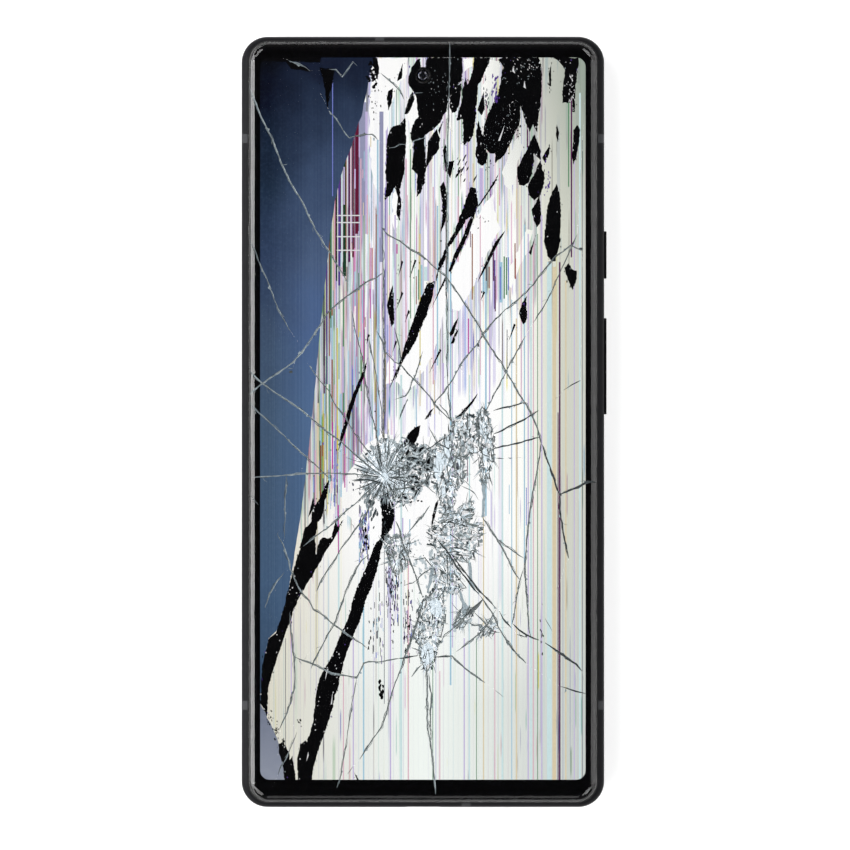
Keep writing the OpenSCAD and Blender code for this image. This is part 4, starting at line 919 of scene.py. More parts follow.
def shade(obj, given):
    """Set the shading normals: given holds one for each point, or zeros where the face's own is used."""
    mesh = obj.data
    corners = np.zeros(len(mesh.loops), int)
    mesh.loops.foreach_get("vertex_index", corners)
    normals = given[corners]
    faces = np.zeros(len(mesh.polygons) * 3)
    mesh.polygons.foreach_get("normal", faces)
    sizes = np.zeros(len(mesh.polygons), int)
    mesh.polygons.foreach_get("loop_total", sizes)
    own = np.repeat(faces.reshape(-1, 3), sizes, axis=0)
    unset = np.abs(normals).sum(axis=1) < 1e-6
    normals[unset] = own[unset]
    mesh.normals_split_custom_set([tuple(n) for n in normals])


def rounded(x0, x1, y0, y1, r, steps=8):
    """Outline of a rounded rectangle, anticlockwise."""
    ring = []
    corners = ((x1 - r, y1 - r), (x0 + r, y1 - r), (x0 + r, y0 + r), (x1 - r, y0 + r))
    for quarter, corner in enumerate(corners):
        ring += [polar(corner, r, math.radians(90 * quarter + 90 * i / steps)) for i in range(steps + 1)]
    return ring


def glass_ring(d):
    """The glass's outline, moved in by d."""
    return rounded(-GLASS_HX + d, GLASS_HX - d, -GLASS_HY + d, GLASS_HY - d, GLASS_R - d, CORNER_STEPS)


def bar(x0, x1, y0, y1):
    return [(x0, y0), (x1, y0), (x1, y1), (x0, y1)]


def dash(x, width, y0, y1):
    return bar(x - width / 2, x + width / 2, y0, y1)


def polar(centre, r, a):
    return centre[0] + r * math.cos(a), centre[1] + r * math.sin(a)


def circle(centre, r, n=40):
    return [polar(centre, r, 2 * math.pi * i / n) for i in range(n)]


def sides(outline):
    """The sides of a closed outline, each as its two ends."""
    return zip(outline, outline[1:] + outline[:1])


def centre_of(outline):
    return sum(p[0] for p in outline) / len(outline), sum(p[1] for p in outline) / len(outline)


def inside(px, py, outline):
    """Which of the points lie inside the outline."""
    result = np.zeros(len(px), bool)
    for (x1, y1), (x2, y2) in sides(outline):
        if y1 != y2:
            crosses = (y1 > py) != (y2 > py)
            result ^= crosses & (px < (x2 - x1) * (py - y1) / (y2 - y1) + x1)
    return result


def within(px, py, outline):
    """How far inside the outline each point lies; less than 0 outside."""
    near = np.full(len(px), 1e9)
    for (x0, y0), (x1, y1) in sides(outline):
        dx, dy = x1 - x0, y1 - y0
        t = np.clip(((px - x0) * dx + (py - y0) * dy) / max(dx * dx + dy * dy, 1e-9), 0, 1)
        near = np.minimum(near, np.hypot(px - x0 - t * dx, py - y0 - t * dy))
    return np.where(inside(px, py, outline), near, -near)


class Painter:
    """Finds the points that lie inside an outline, quickly, for many outlines."""

    def __init__(self, xy):
        self.order = np.argsort(xy[:, 0])
        self.x, self.y = xy[self.order, 0], xy[self.order, 1]

    def inside(self, outline):
        xs, ys = zip(*outline)
        a, b = np.searchsorted(self.x, (min(xs), max(xs)))
        near = np.nonzero((self.y[a:b] >= min(ys)) & (self.y[a:b] <= max(ys)))[0] + a
        return self.order[near[inside(self.x[near], self.y[near], outline)]]


class Plan:
    """Lines on a plane that split it into triangles."""

    def __init__(self):
        self.verts, self.edges = [], []

    def chain(self, line, closed=False):
        """Add a line, and return the numbers of its points."""
        first = len(self.verts)
        self.verts.extend(line)
        last = len(self.verts) - 1
        self.edges.extend((i, i + 1) for i in range(first, last))
        if closed:
            self.edges.append((last, first))
        return range(first, last + 1)

    def split(self):
        """(points, triangles, where each given point went)"""
        given = [Vector(v) for v in self.verts]
        verts, _, faces, origin, _, _ = delaunay_2d_cdt(given, self.edges, [], 0, 1e-4)
        where = {old: new for new, olds in enumerate(origin) for old in olds}
        return np.array([(v.x, v.y) for v in verts]), [tuple(f) for f in faces], where


def middles(xy, faces):
    return np.array([xy[list(f)].mean(axis=0) for f in faces])


def wall(upper, lower):
    """Faces between two closed rings of points, seen from outside."""
    n = len(upper)
    return [(upper[i], lower[i], lower[(i + 1) % n], upper[(i + 1) % n]) for i in range(n)]


# ---------------------------------------------------------------- chance shapes


def wander(line, rng, step, sway):
    """The line cut into short pieces that stray a little from side to side."""
    out = [line[0]]
    for (x0, y0), (x1, y1) in zip(line, line[1:]):
        length = math.hypot(x1 - x0, y1 - y0)
        n = max(1, round(length / step))
        nx, ny = -(y1 - y0) / max(length, 1e-6), (x1 - x0) / max(length, 1e-6)
        for i in range(1, n + 1):
            off = rng.uniform(-sway, sway) if i < n or (x1, y1) != line[-1] else 0
            out.append((x0 + (x1 - x0) * i / n + nx * off, y0 + (y1 - y0) * i / n + ny * off))
    return out


def ragged(outline, rng, step, sway):
    return wander(outline + outline[:1], rng, step, sway)[:-1]


def grown(outline, by):
    """An outline moved away from its middle."""
    cx, cy = centre_of(outline)
    out = []
    for x, y in outline:
        r = max(1e-6, math.hypot(x - cx, y - cy))
        out.append((x + (x - cx) / r * by, y + (y - cy) / r * by))
    return out


def swollen(outline, by):
    """An outline moved outwards, each corner by the same amount."""
    turns = sum(x0 * y1 - x1 * y0 for (x0, y0), (x1, y1) in sides(outline))
    way = math.copysign(1, turns)
    out = []
    for i, (x, y) in enumerate(outline):
        (x0, y0), (x1, y1) = outline[i - 1], outline[(i + 1) % len(outline)]
        a, b = (y - y0, x0 - x), (y1 - y, x - x1)
        la, lb = math.hypot(*a) or 1, math.hypot(*b) or 1
        nx, ny = a[0] / la + b[0] / lb, a[1] / la + b[1] / lb
        long = max(0.6, math.hypot(nx, ny))
        out.append((x + way * nx / long * by, y + way * ny / long * by))
    return out


def frayed(outline, rng):
    """A leak's outline with a finely broken edge; thin leaks keep their shape."""
    area = abs(sum(x0 * y1 - x1 * y0 for (x0, y0), (x1, y1) in sides(outline))) / 2
    length = sum(math.hypot(x1 - x0, y1 - y0) for (x0, y0), (x1, y1) in sides(outline))
    sway = min(0.1, 0.16 * area / length)
    return ragged(ragged(outline, rng, 1.2, sway), rng, 0.36, sway)


def blot(rng, x, y, size, stretch, lean):
    """A ragged little blot."""
    n = rng.randint(6, 9)
    c, s = math.cos(lean), math.sin(lean)
    out = []
    for i in range(n):
        a = 2 * math.pi * i / n
        r = size * rng.uniform(0.55, 1.25)
        dx, dy = r * math.cos(a), r * math.sin(a) * stretch
        out.append((x + dx * c - dy * s, y + dx * s + dy * c))
    return out


def spray(rng, outline, spacing):
    """Points scattered inside an outline, about one for each square of the spacing."""
    xs, ys = zip(*outline)
    nx, ny = int((max(xs) - min(xs)) / spacing) + 1, int((max(ys) - min(ys)) / spacing) + 1
    found = [(min(xs) + (i + rng.random()) * spacing, min(ys) + (j + rng.random()) * spacing)
             for i in range(nx) for j in range(ny)]
    keep = inside(*np.array(found).T, outline)
    return [p for p, k in zip(found, keep) if k]


def lumps(x, y, seed, size=1.6):
    """Smooth noise between 0 and 1 for arrays, made of a few waves."""
    r = np.random.RandomState(seed)
    waves = 9
    total = np.zeros(len(x))
    for _ in range(waves):
        a, f, ph = r.uniform(0, 2 * math.pi), r.uniform(0.6, 1.7) / size, r.uniform(0, 2 * math.pi)
        total += np.sin((x * math.cos(a) + y * math.sin(a)) * f * 2 * math.pi + ph)
    return 0.5 + total / waves


def shards(rng, outline, spacing, seed, stretch=2.2):
    """Edges of splinters that fill an outline: long the way the outline is long, and of uneven size."""
    pts = np.array(outline)
    axis = np.linalg.svd(pts - pts.mean(axis=0))[2][0]
    seeds = np.array(spray(rng, grown(outline, 0.9), spacing))
    crowd = lumps(seeds[:, 0], seeds[:, 1], seed, 2.4)
    seeds = seeds[[rng.random() < 0.25 + 0.95 * c for c in crowd]]
    along, across = seeds @ axis / stretch, seeds @ np.array((-axis[1], axis[0]))
    _, edges, _, origin, _, _ = delaunay_2d_cdt([Vector(p) for p in zip(along, across)], [], [], 0, 1e-4)
    for a, b in edges:
        i, j = origin[a][0], origin[b][0]
        if math.hypot(along[i] - along[j], across[i] - across[j]) < 2.6 * spacing:
            yield tuple(seeds[i]), tuple(seeds[j])


def fan(rng, centre, first, last, rays=30):
    """Edges of long splinters round a centre."""
    flat, r = [], first
    while r < last:
        for i in range(rays):
            away = r * rng.uniform(0.85, 1.2)
            flat.append((2 * math.pi * (i + rng.uniform(0, 0.9)) / rays, away))
        r *= 1.55
    flat += [(a + 2 * math.pi, r) for a, r in flat if a < 0.9]
    unrolled = [Vector((a * 3.2, math.log(r) * 1.5)) for a, r in flat]
    _, edges, _, origin, _, _ = delaunay_2d_cdt(unrolled, [], [], 0, 1e-4)
    for a, b in edges:
        (a0, r0), (a1, r1) = flat[origin[a][0]], flat[origin[b][0]]
        if abs(a0 - a1) < 0.6:
            yield polar(centre, r0, a0), polar(centre, r1, a1)


# ---------------------------------------------------------------- the cracked cover glass


def keep_on_glass(p):
    hx, hy = GLASS_HX - 0.06, GLASS_HY - 0.06
    return max(-hx, min(hx, p[0])), max(-hy, min(hy, p[1]))


class Grooves:
    """Segments of cracks, each with its half width at both ends, its depth and its tone."""

    def __init__(self):
        self.seg, self.tone, self.chains = [], [], []

    def add(self, line, width, tone, rng, depth, taper):
        line = [keep_on_glass(p) for p in line]
        n = len(line)
        half = []
        for i in range(n):
            w = width / 2 * rng.uniform(0.6, 1.3)
            if taper:
                w *= (0.25, 0.7, 1.0)[min(2, i, n - 1 - i)]
            half.append(w)
        left, right = [], []
        for i, (x, y) in enumerate(line):
            x0, y0 = line[max(0, i - 1)]
            x1, y1 = line[min(n - 1, i + 1)]
            length = max(1e-6, math.hypot(x1 - x0, y1 - y0))
            nx, ny = -(y1 - y0) / length, (x1 - x0) / length
            left.append((x + nx * half[i], y + ny * half[i]))
            right.append((x - nx * half[i], y - ny * half[i]))
        self.chains += [line, left, right]
        for i in range(n - 1):
            self.seg.append((*line[i], *line[i + 1], half[i], half[i + 1], depth))
            self.tone.append(tone)

    def depth_at(self, pts):
        """Depth of the grooves at each point, and which segment it belongs to."""
        best = np.zeros(len(pts))
        owner = np.full(len(pts), -1)
        size = 3.0
        cells = {}
        for k, (x, y) in enumerate(pts):
            cells.setdefault((int(x // size), int(y // size)), []).append(k)
        cells = {key: np.array(v) for key, v in cells.items()}
        for s, (x0, y0, x1, y1, h0, h1, depth) in enumerate(self.seg):
            reach = max(h0, h1)
            across = range(int((min(x0, x1) - reach) // size), int((max(x0, x1) + reach) // size) + 1)
            down = range(int((min(y0, y1) - reach) // size), int((max(y0, y1) + reach) // size) + 1)
            near = [cells[(i, j)] for i in across for j in down if (i, j) in cells]
            if not near:
                continue
            ids = np.concatenate(near)
            p = pts[ids]
            dx, dy = x1 - x0, y1 - y0
            length2 = max(dx * dx + dy * dy, 1e-9)
            t = np.clip(((p[:, 0] - x0) * dx + (p[:, 1] - y0) * dy) / length2, 0, 1)
            off = np.hypot(p[:, 0] - x0 - t * dx, p[:, 1] - y0 - t * dy)
            half = h0 + (h1 - h0) * t
            d = depth * (1 - off / np.maximum(half, 1e-4)) * np.minimum(1, half / 0.08)
            better = d > best[ids]
            best[ids[better]] = d[better]
            owner[ids[better]] = s
        return best, owner


LONG, DEEP, THIN = 0.16, 0.2, 0.1        # depths of the grooves


class Shatter:
    """The breaks of the glass as they are laid out: grooves, and pieces with a tone of their own."""

    def __init__(self, seed):
        self.rng = random.Random(seed)
        self.plan, self.grooves = Plan(), Grooves()
        self.pieces, self.chips, self.patches = [], [], []

    def groove(self, line, width, tone, depth=THIN, taper=True):
        self.grooves.add(line, width, tone, self.rng, depth, taper)

    def piece(self, tone, outline):
        self.pieces.append((tone, outline))
        self.plan.chain(outline, closed=True)

    def sliver(self, tones, shares, a, r0, mid, r1, width):
        """A thin splinter that points at the impact, widest at mid."""
        ca, sa = math.cos(a), math.sin(a)
        outline = [(IMPACT[0] + r * ca - k * width * sa, IMPACT[1] + r * sa + k * width * ca)
                   for r, k in ((r0, 0), (mid, -1), (r1, 0), (mid, 1))]
        self.piece(self.rng.choices(tones, shares)[0], outline)


def lay_cracks(glass):
    """The long cracks, with spurs and second strands."""
    rng = glass.rng
    for row in rows(CRACKS):
        width, way = row.split(None, 1)
        deep = width.endswith("d")
        width = float(width.rstrip("d"))
        line = wander(points(way), rng, 1.0, 0.065)
        glass.groove(line, width, "deep" if deep else "line", DEEP if deep else LONG)
        for i in range(1, len(line) - 3):
            (x0, y0), (x1, y1), (x2, y2), (x3, y3) = line[i:i + 4]
            a = math.atan2(y1 - y0, x1 - x0)
            luck = rng.random()
            if luck < 0.13:
                turn = a + rng.choice((-1, 1)) * rng.uniform(0.35, 1.1)
                long = rng.uniform(0.4, 1.7)
                spur = [(x0, y0), polar((x0, y0), long * 0.6, turn), polar((x0, y0), long, turn + 0.2)]
                glass.groove(spur, width * rng.uniform(0.25, 0.6), "line")
            elif luck < 0.5:
                side = rng.choice((-1, 1)) * rng.uniform(0.16, 0.34)
                nx, ny = -math.sin(a) * side, math.cos(a) * side
                strand = [(x0, y0), (x1 + nx, y1 + ny), (x2 + nx * 0.8, y2 + ny * 0.8), (x3, y3)]
                glass.groove(strand, rng.uniform(0.08, 0.2), rng.choice(("deep", "deep", "line")))


def lay_rays(glass):
    """Rays and broken rings round the impact."""
    rng = glass.rng
    count = 26
    rays = []
    for i in range(count):
        a = math.radians(360 * i / count + rng.uniform(-6, 6))
        up = max(0.0, math.sin(a))
        length = rng.uniform(2.6, 6.8) + 3.6 * up * rng.random()
        bend = rng.uniform(-0.12, 0.12)
        ray = [polar(IMPACT, length * t, a + bend * t) for t in (0.22, 0.4, 0.6, 0.8, 1.0)]
        rays.append(ray)
        glass.groove(ray, rng.uniform(0.08, 0.3), rng.choice(("line", "light", "deep", "line")), 0.14)
    for level in (1, 2, 3):
        for a, b in sides(rays):
            if rng.random() < 0.5:
                glass.groove([a[level], b[level]], rng.uniform(0.1, 0.2), "line", taper=False)


def lay_patches(glass):
    """The crushed patches, thinner towards their borders. The first is the core of the impact."""
    rng = glass.rng
    for row in rows(PATCHES):
        size, share, shares, outline = row.split(None, 3)
        outline = points(outline)
        glass.patches.append((outline, float(share) * 0.78, [float(v) for v in shares.split(",")]))
        core = len(glass.patches) == 1
        for p, q in shards(rng, outline, float(size) * 0.72, len(glass.patches)):
            x, y = np.array([(p[0] + q[0]) / 2]), np.array([(p[1] + q[1]) / 2])
            depth_in = within(x, y, outline)[0]
            if rng.random() > (depth_in + 0.8) / 1.2:
                continue
            vein = abs(lumps(x, y, 23, 1.9)[0] - 0.5) < 0.05
            if (vein or (abs(depth_in) < 0.3 and rng.random() < 0.55)) and not core:
                width = rng.choice((0.12, 0.16, 0.2, 0.28))
                glass.groove([p, q], width, rng.choice(("deep", "line", "line")), 0.12, taper=False)
            elif rng.random() < (0.14 if core else 0.17):
                width = rng.choice((0.05, 0.06, 0.08, 0.1))
                glass.groove([p, q], width, rng.choice(("line", "line", "deep", "light")), taper=False)
            else:
                glass.plan.chain([p, q])


def lay_fan(glass):
    """Long splinters round the impact, fewer away from it and to its right."""
    rng = glass.rng
    for p, q in fan(rng, IMPACT, 1.0, 9.4):
        r = math.hypot(p[0] + q[0] - 2 * IMPACT[0], p[1] + q[1] - 2 * IMPACT[1]) / 2
        if rng.random() < (r - 2.4) / (6.5 if p[0] < -4.6 else 2.6):
            continue
        if rng.random() < 0.3:
            width = rng.choice((0.05, 0.07, 0.1, 0.14))
            glass.groove([p, q], width, rng.choice(("line", "deep", "light")), taper=False)
        else:
            glass.plan.chain([p, q])


def lay_wedges(glass):
    for row in rows(WEDGES):
        tone, outline = row.split(None, 1)
        glass.piece(tone, ragged(points(outline), glass.rng, 0.8, 0.1))


def lay_fingers(glass):
    """Fingers that reach out of the crushed patches."""
    rng = glass.rng
    for outline, _, _ in glass.patches:
        mx, my = centre_of(outline)
        for (x0, y0), (x1, y1) in sides(outline):
            for _ in range(rng.choice((1, 2, 2, 3))):
                t = rng.random()
                x, y = x0 + (x1 - x0) * t, y0 + (y1 - y0) * t
                a = math.atan2(y - my, x - mx) + rng.gauss(0, 0.5)
                long, wide = rng.uniform(0.7, 2.4), rng.uniform(0.08, 0.3)
                nx, ny = -math.sin(a) * wide, math.cos(a) * wide
                bx, by = x - 0.7 * math.cos(a), y - 0.7 * math.sin(a)
                finger = [(bx + nx, by + ny), (bx - nx, by - ny), (x - nx * 0.7, y - ny * 0.7),
                          polar((x, y), long, a), (x + nx * 0.7, y + ny * 0.7)]
                if rng.random() < 0.55:
                    tone = rng.choices(("blue", "grey", "white", "dark", "light"), (5, 4, 2, 1, 2))[0]
                    glass.piece(tone, [keep_on_glass(p) for p in finger])
                bend = (x + long * 0.5 * math.cos(a) + nx, y + long * 0.5 * math.sin(a) + ny)
                end = polar((x, y), long * 1.25, a + 0.12)
                width = rng.choice((0.07, 0.1, 0.14, 0.18))
                glass.groove([(bx, by), bend, end], width, rng.choice(("deep", "line", "line")))


def lay_nicks(glass):
    rng = glass.rng
    for x, y in points(NICKS):
        n = rng.randint(5, 7)
        turn, size = rng.uniform(0, 6), rng.uniform(0.22, 0.42)
        star = []
        for i in range(n):
            a = turn + 2 * math.pi * i / n
            dx, dy = size * rng.uniform(0.4, 1.5) * math.cos(a), size * rng.uniform(0.4, 1.5) * math.sin(a)
            star.append((x + dx, y + dy))
        glass.piece(rng.choice(("dark", "grey", "deep", "grey")), [keep_on_glass(p) for p in star])


def lay_slivers(glass):
    """Slivers that fan out from the impact, then dark ones below it and to its left."""
    rng = glass.rng
    for _ in range(150):
        a = math.radians(rng.choice((rng.uniform(40, 165), rng.uniform(165, 300), rng.uniform(0, 360))))
        r0 = rng.uniform(0.8, 4.4)
        r1 = r0 + rng.uniform(1.0, 3.2) * (1.7 if math.sin(a) > 0.3 else 1.0)
        width = rng.uniform(0.05, 0.17)
        mid = r0 + (r1 - r0) * rng.uniform(0.25, 0.6)
        glass.sliver(("grey", "light", "white", "dark", "blue"), (4, 3, 4, 2, 3), a, r0, mid, r1, width)
    for _ in range(70):
        a, r0 = math.radians(rng.gauss(252, 24)), rng.uniform(1.2, 4.0)
        r1, width = r0 + rng.uniform(0.8, 2.8), rng.uniform(0.05, 0.16)
        glass.sliver(("dark", "deep", "grey"), (4, 3, 3), a, r0, (r0 + r1) / 2, r1, width)


def lay_chips(glass):
    """Chips along the long cracks, none on the curved rim's very edge."""
    rng = glass.rng
    long_segs = [s for s in glass.grooves.seg if s[6] >= LONG]
    for x0, y0, x1, y1, h0, _, _ in rng.sample(long_segs, min(len(long_segs), 190)):
        length = math.hypot(x1 - x0, y1 - y0)
        if length < 0.4:
            continue
        side = rng.choice((-1, 1))
        nx, ny = -(y1 - y0) / length * side, (x1 - x0) / length * side
        reach = h0 + rng.uniform(0.12, 0.42)
        t = rng.uniform(0.3, 0.7)
        tip = (x0 + (x1 - x0) * t + nx * reach, y0 + (y1 - y0) * t + ny * reach)
        chip = [keep_on_glass(p) for p in ((x0, y0), (x1, y1), tip)]
        if inset(*np.array(chip).T, *GLASS_SHAPE).min() >= 0.1:
            glass.chips.append(chip)
            glass.plan.chain(chip, closed=True)


def tone_faces(glass, centres, pick):
    """(tone of each face, which faces are flat facets)"""
    cx, cy = centres.T
    count = len(centres)
    tone = np.zeros(count, int)
    flat = np.zeros(count, bool)
    clumps = lumps(cx, cy, 3)
    for outline, share, shares in glass.patches:
        depth_in = within(cx, cy, outline)
        here = depth_in > -0.8
        flat |= here
        border = np.clip((depth_in + 0.7) / 1.3, 0, 1)
        chosen = here & (0.55 * clumps + 0.45 * pick.rand(count) < share * 0.95 * border)
        choices = [TONES.index(t) for t in ("white", "blue", "grey", "dark")]
        tone[chosen] = pick.choice(choices, count, p=np.array(shares) / sum(shares))[chosen]
    # the ground-up core of the impact: bands of tone that turn round it, darker above
    away, turn = np.hypot(cx - IMPACT[0], cy - IMPACT[1]), np.arctan2(cy - IMPACT[1], cx - IMPACT[0])
    beat = 0.5 + 0.3 * np.sin(turn * 9 + 1.4 * np.sin(turn * 2.0)) + 0.2 * np.sin(turn * 23 + 2)
    beat -= 0.34 * np.clip(np.sin(turn), 0, 1)
    core = pick.rand(count) < np.clip(1.25 - away / 4.6, 0, 1) * 0.9
    bands = np.array([TONES.index(t) for t in ("grey", "blue", "blue", "white")])
    tone[core] = bands[np.clip((beat + 0.34 * (pick.rand(count) - 0.5)) * 4, 0, 3).astype(int)][core]
    flat[core] = True
    painter = Painter(centres)
    for name, outline in glass.pieces:
        here = painter.inside(outline)
        tone[here] = TONES.index(name)
        flat[here] = True
    for outline in glass.chips:
        here = painter.inside(outline)
        tone[here[tone[here] == 0]] = TONES.index("light")
        flat[here] = True
    # grooves; over the dark parts of the picture a thin one takes the lighter tone, a painted highlight for the
    # room light that the crack scatters
    cut, owner = glass.grooves.depth_at(centres)
    over_dark = (np.abs(cx) > LIT[1]) | (cy > LIT[3]) | (cy < LIT[2])
    for outline in [BLUE, LAVENDER] + [points(row) for row in rows(LEAKS)]:
        over_dark |= inside(cx, cy, outline)
    for k in np.nonzero(cut > 1e-4)[0]:
        name = glass.grooves.tone[owner[k]]
        tone[k] = TONES.index("light" if over_dark[k] and name == "line" else name)
    flat |= (cut > 1e-4) | (inset(cx, cy, *GLASS_SHAPE) > RIM_REACH + 0.05)
    return tone, flat


def curve_depth(d):
    """How far a point d inside the rim still is from where the curve starts."""
    return np.clip(RIM_REACH - d, 0, RIM_REACH)


def curve_normals(xy, d, radius):
    """Directions that the curved edge faces."""
    nx, ny = outward(*xy.T, *GLASS_SHAPE)
    lean = np.clip(curve_depth(d) / radius, 0, 0.999)
    return np.stack((nx * lean, ny * lean, np.sqrt(1 - lean ** 2)), axis=1)


def build_glass():
    glass = Shatter(41)
    steps = (0, 0.15, 0.35, 0.6, 0.9, 1.25, 1.6, RIM_REACH, PAST_RIM)
    edge = [glass.plan.chain(glass_ring(step), closed=True) for step in steps]
    for lay in (lay_cracks, lay_rays, lay_patches, lay_fan, lay_wedges, lay_fingers, lay_nicks, lay_slivers,
                lay_chips):
        lay(glass)
    for line in glass.grooves.chains:
        glass.plan.chain(line)
    xy, faces, where = glass.plan.split()
    pick = np.random.RandomState(5)
    tone, flat = tone_faces(glass, middles(xy, faces), pick)
    # top: curved to the rim, cut by the grooves, and with loose pieces a little lower and tilted
    d = inset(*xy.T, *GLASS_SHAPE)
    loose = np.zeros(len(xy), bool)
    for outline, _, _ in glass.patches:
        loose |= inside(*xy.T, outline)
    z = Z_CURVE + np.sqrt(RIM_R ** 2 - curve_depth(d) ** 2) - glass.grooves.depth_at(xy)[0]
    z -= np.where(loose, pick.rand(len(xy)) * 0.09, 0)
    # flat faces have points of their own, so that they don't bend the shading of the curved edge
    verts = [(x, y, h) for (x, y), h in zip(xy, z)] * 2
    tris = [tuple(i + len(xy) * int(hard) for i in f) for f, hard in zip(faces, flat)]
    # underside: inked black round the lit area, with a seat along the rim
    under_r = RIM_R - GLASS_T
    seat = RIM_REACH - math.sqrt(under_r ** 2 - (Z_SEAT - Z_CURVE) ** 2)
    under = Plan()
    steps = (0, seat, seat + 0.12, 0.85, 1.2, 1.6, RIM_REACH, PAST_RIM)
    low_edge = [under.chain(glass_ring(step), closed=True) for step in steps]
    under.chain(rounded(*LIT, LIT_R), closed=True)
    low_xy, low_faces, low_where = under.split()
    low_d = inset(*low_xy.T, *GLASS_SHAPE)
    low_z = Z_CURVE + np.sqrt(np.maximum(under_r ** 2 - curve_depth(low_d) ** 2, 0))
    low_z += Z_UNDER - Z_FRONT + GLASS_T
    low_z = np.where(low_d <= seat + 1e-3, Z_SEAT, np.maximum(low_z, Z_SEAT))
    first = len(verts)
    verts += [(x, y, h) for (x, y), h in zip(low_xy, low_z)]
    tris += [tuple(first + i for i in reversed(f)) for f in low_faces]
    clear = inside(*middles(low_xy, low_faces).T, rounded(*LIT, LIT_R))
    rim = wall([where[i] for i in edge[0]], [first + low_where[i] for i in low_edge[0]])
    mats = list(tone) + [0 if k else len(TONES) for k in clear] + [0] * len(rim)
    smooth = list(~flat) + [True] * (len(low_faces) + len(rim))
    finishes = [GLASS] + [FRACTURE[t] for t in TONES[1:]] + [INK]
    obj = make_mesh("cracked_glass", verts, tris + rim, finishes, mats, smooth)
    normals = np.zeros((len(verts), 3))
    normals[:len(xy)] = curve_normals(xy, d, RIM_R)
    normals[first:] = -curve_normals(low_xy, low_d, under_r)
    shade(obj, normals)
    settle(obj, "cover_glass", "cover_glass")


# ---------------------------------------------------------------- the display under it
# Each of these gives the fields of the picture that it adds, as (colour, outline). Later fields lie on top.


def line_fields():
    for row in rows(LINES):
        colour, *numbers = row.split()
        x, width, top, foot = ([float(v) for v in numbers] + [LIT[2]])[:4]
        yield colour, dash(x, width, foot, top)


def dash_fields(rng):
    """Short coloured dashes in the upper half and down the left edge of the light."""
    colours = ("plum", "slate", "rose", "sky", "lilac", "leaf", "magenta", "cobalt", "yellow", "brown", "tan")
    shares = (3, 3, 6, 6, 6, 3, 1, 2, 1, 2, 4)
    for _ in range(70):
        y = rng.uniform(-24, 64)
        beside = -21.5 + (y / 11 if y > 0 else y / 8)
        x = rng.uniform(-24, 24) if rng.random() < 0.4 else beside + rng.uniform(0, 8)
        width, half = rng.choice((0.16, 0.21, 0.28)), rng.uniform(1.5, 11) / 2
        yield rng.choices(colours, shares)[0], dash(x, width, y - half, y + half)


def column_fields(rng):
    """Short dashes in columns beside the long leak. Each column: middle, spread, how many."""
    colours = ("cobalt", "black", "violet", "lilac", "sky", "slate")
    for x, y, sx, sy, count in ((-12.5, -24, 1.1, 7.5, 150), (-6.4, -36, 1.5, 6, 90), (-3.2, -42, 1.0, 7, 60),
                                (-9.4, -45, 1.3, 9, 40), (-19.6, -14, 1.6, 8, 40)):
        shares = (4, 4, 3, 4, 3, 3) if sy > 7 else (1, 7, 2, 3, 1, 4)
        for _ in range(count):
            cx, cy = x + rng.uniform(-sx, sx), y + rng.gauss(0, sy * 0.5)
            width, half = rng.choice((0.1, 0.14, 0.2)), rng.uniform(0.25, 2.2) / 2
            yield rng.choices(colours, shares)[0], dash(cx, width, cy - half, cy + half)


def crushed_glass_shade_fields(rng):
    """Blots in the picture under the crushed patches of the glass: painted shade and painted haze that stand in
    for the shadow and scattered light of the crushed glass.
    """
    for row in rows(PATCHES):
        outline = points(row.split(None, 3)[3])
        for x, y in spray(rng, grown(outline, 0.5), 0.62):
            colour = rng.choices(("haze", "shade", "murk", "slit"), (7, 5, 2, 4))[0]
            yield colour, blot(rng, x, y, rng.uniform(0.14, 0.46), rng.uniform(0.8, 1.8), rng.uniform(0, 3))
        for x, y in spray(rng, grown(outline, 0.3), 0.58):
            colour = rng.choice(("murk", "black", "shade"))
            yield colour, blot(rng, x, y, rng.uniform(0.04, 0.11), rng.uniform(1, 2.4), rng.uniform(0, 3))


def leak_fields(rng):
    """The black leaks, with spots along their edges."""
    leaks = [points(row) for row in rows(LEAKS)]
    for outline in leaks:
        yield "black", frayed(swollen(outline, 0.16), rng)
    for outline in leaks:
        for (x0, y0), (x1, y1) in sides(outline):
            for _ in range(int(math.hypot(x1 - x0, y1 - y0) * 0.9 + rng.random())):
                t, off = rng.random(), rng.gauss(0, 0.34)
                x, y = x0 + (x1 - x0) * t + off, y0 + (y1 - y0) * t + rng.gauss(0, 0.34)
                colour = rng.choices(("black", "slit", "violet", "shade"), (8, 3, 1, 1))[0]
                if x < -14 and y > 40:
                    colour = "black"
                yield colour, blot(rng, x, y, rng.uniform(0.04, 0.13), rng.uniform(1, 2.6), 0)


def spatter_fields(rng):
    for row in rows(SPATTER):
        colour, middle, scatter, count, size, stretch, lean = row.split()
        (x, y), (sx, sy) = points(middle + " " + scatter)
        for _ in range(int(count)):
            turn = rng.uniform(0, math.pi) if lean == "any" else float(lean)
            bx, by = x + rng.gauss(0, sx) * 0.7, y + rng.gauss(0, sy) * 0.7
            yield colour, blot(rng, bx, by, float(size) * rng.uniform(0.5, 1.4), float(stretch), turn)


def smudge_fields(rng):
    """Dark smudges right of the impact, each paler towards its rim."""
    for _ in range(64):
        a, r = rng.uniform(-1.5, 1.2), rng.uniform(2.0, 9.4)
        x, y = IMPACT[0] + 1.2 + r * math.cos(a), IMPACT[1] + 1.8 + r * math.sin(a) * 0.72
        if x > 2.4:
            continue
        size, stretch, turn = rng.uniform(0.16, 0.52), rng.uniform(1.3, 2.6), rng.uniform(0, math.pi)
        for colour, k in (("haze", 1.9), ("shade", 1.5), ("murk", 1.2), ("black", 0.9)):
            yield colour, blot(rng, x, y, size * k, stretch, turn)


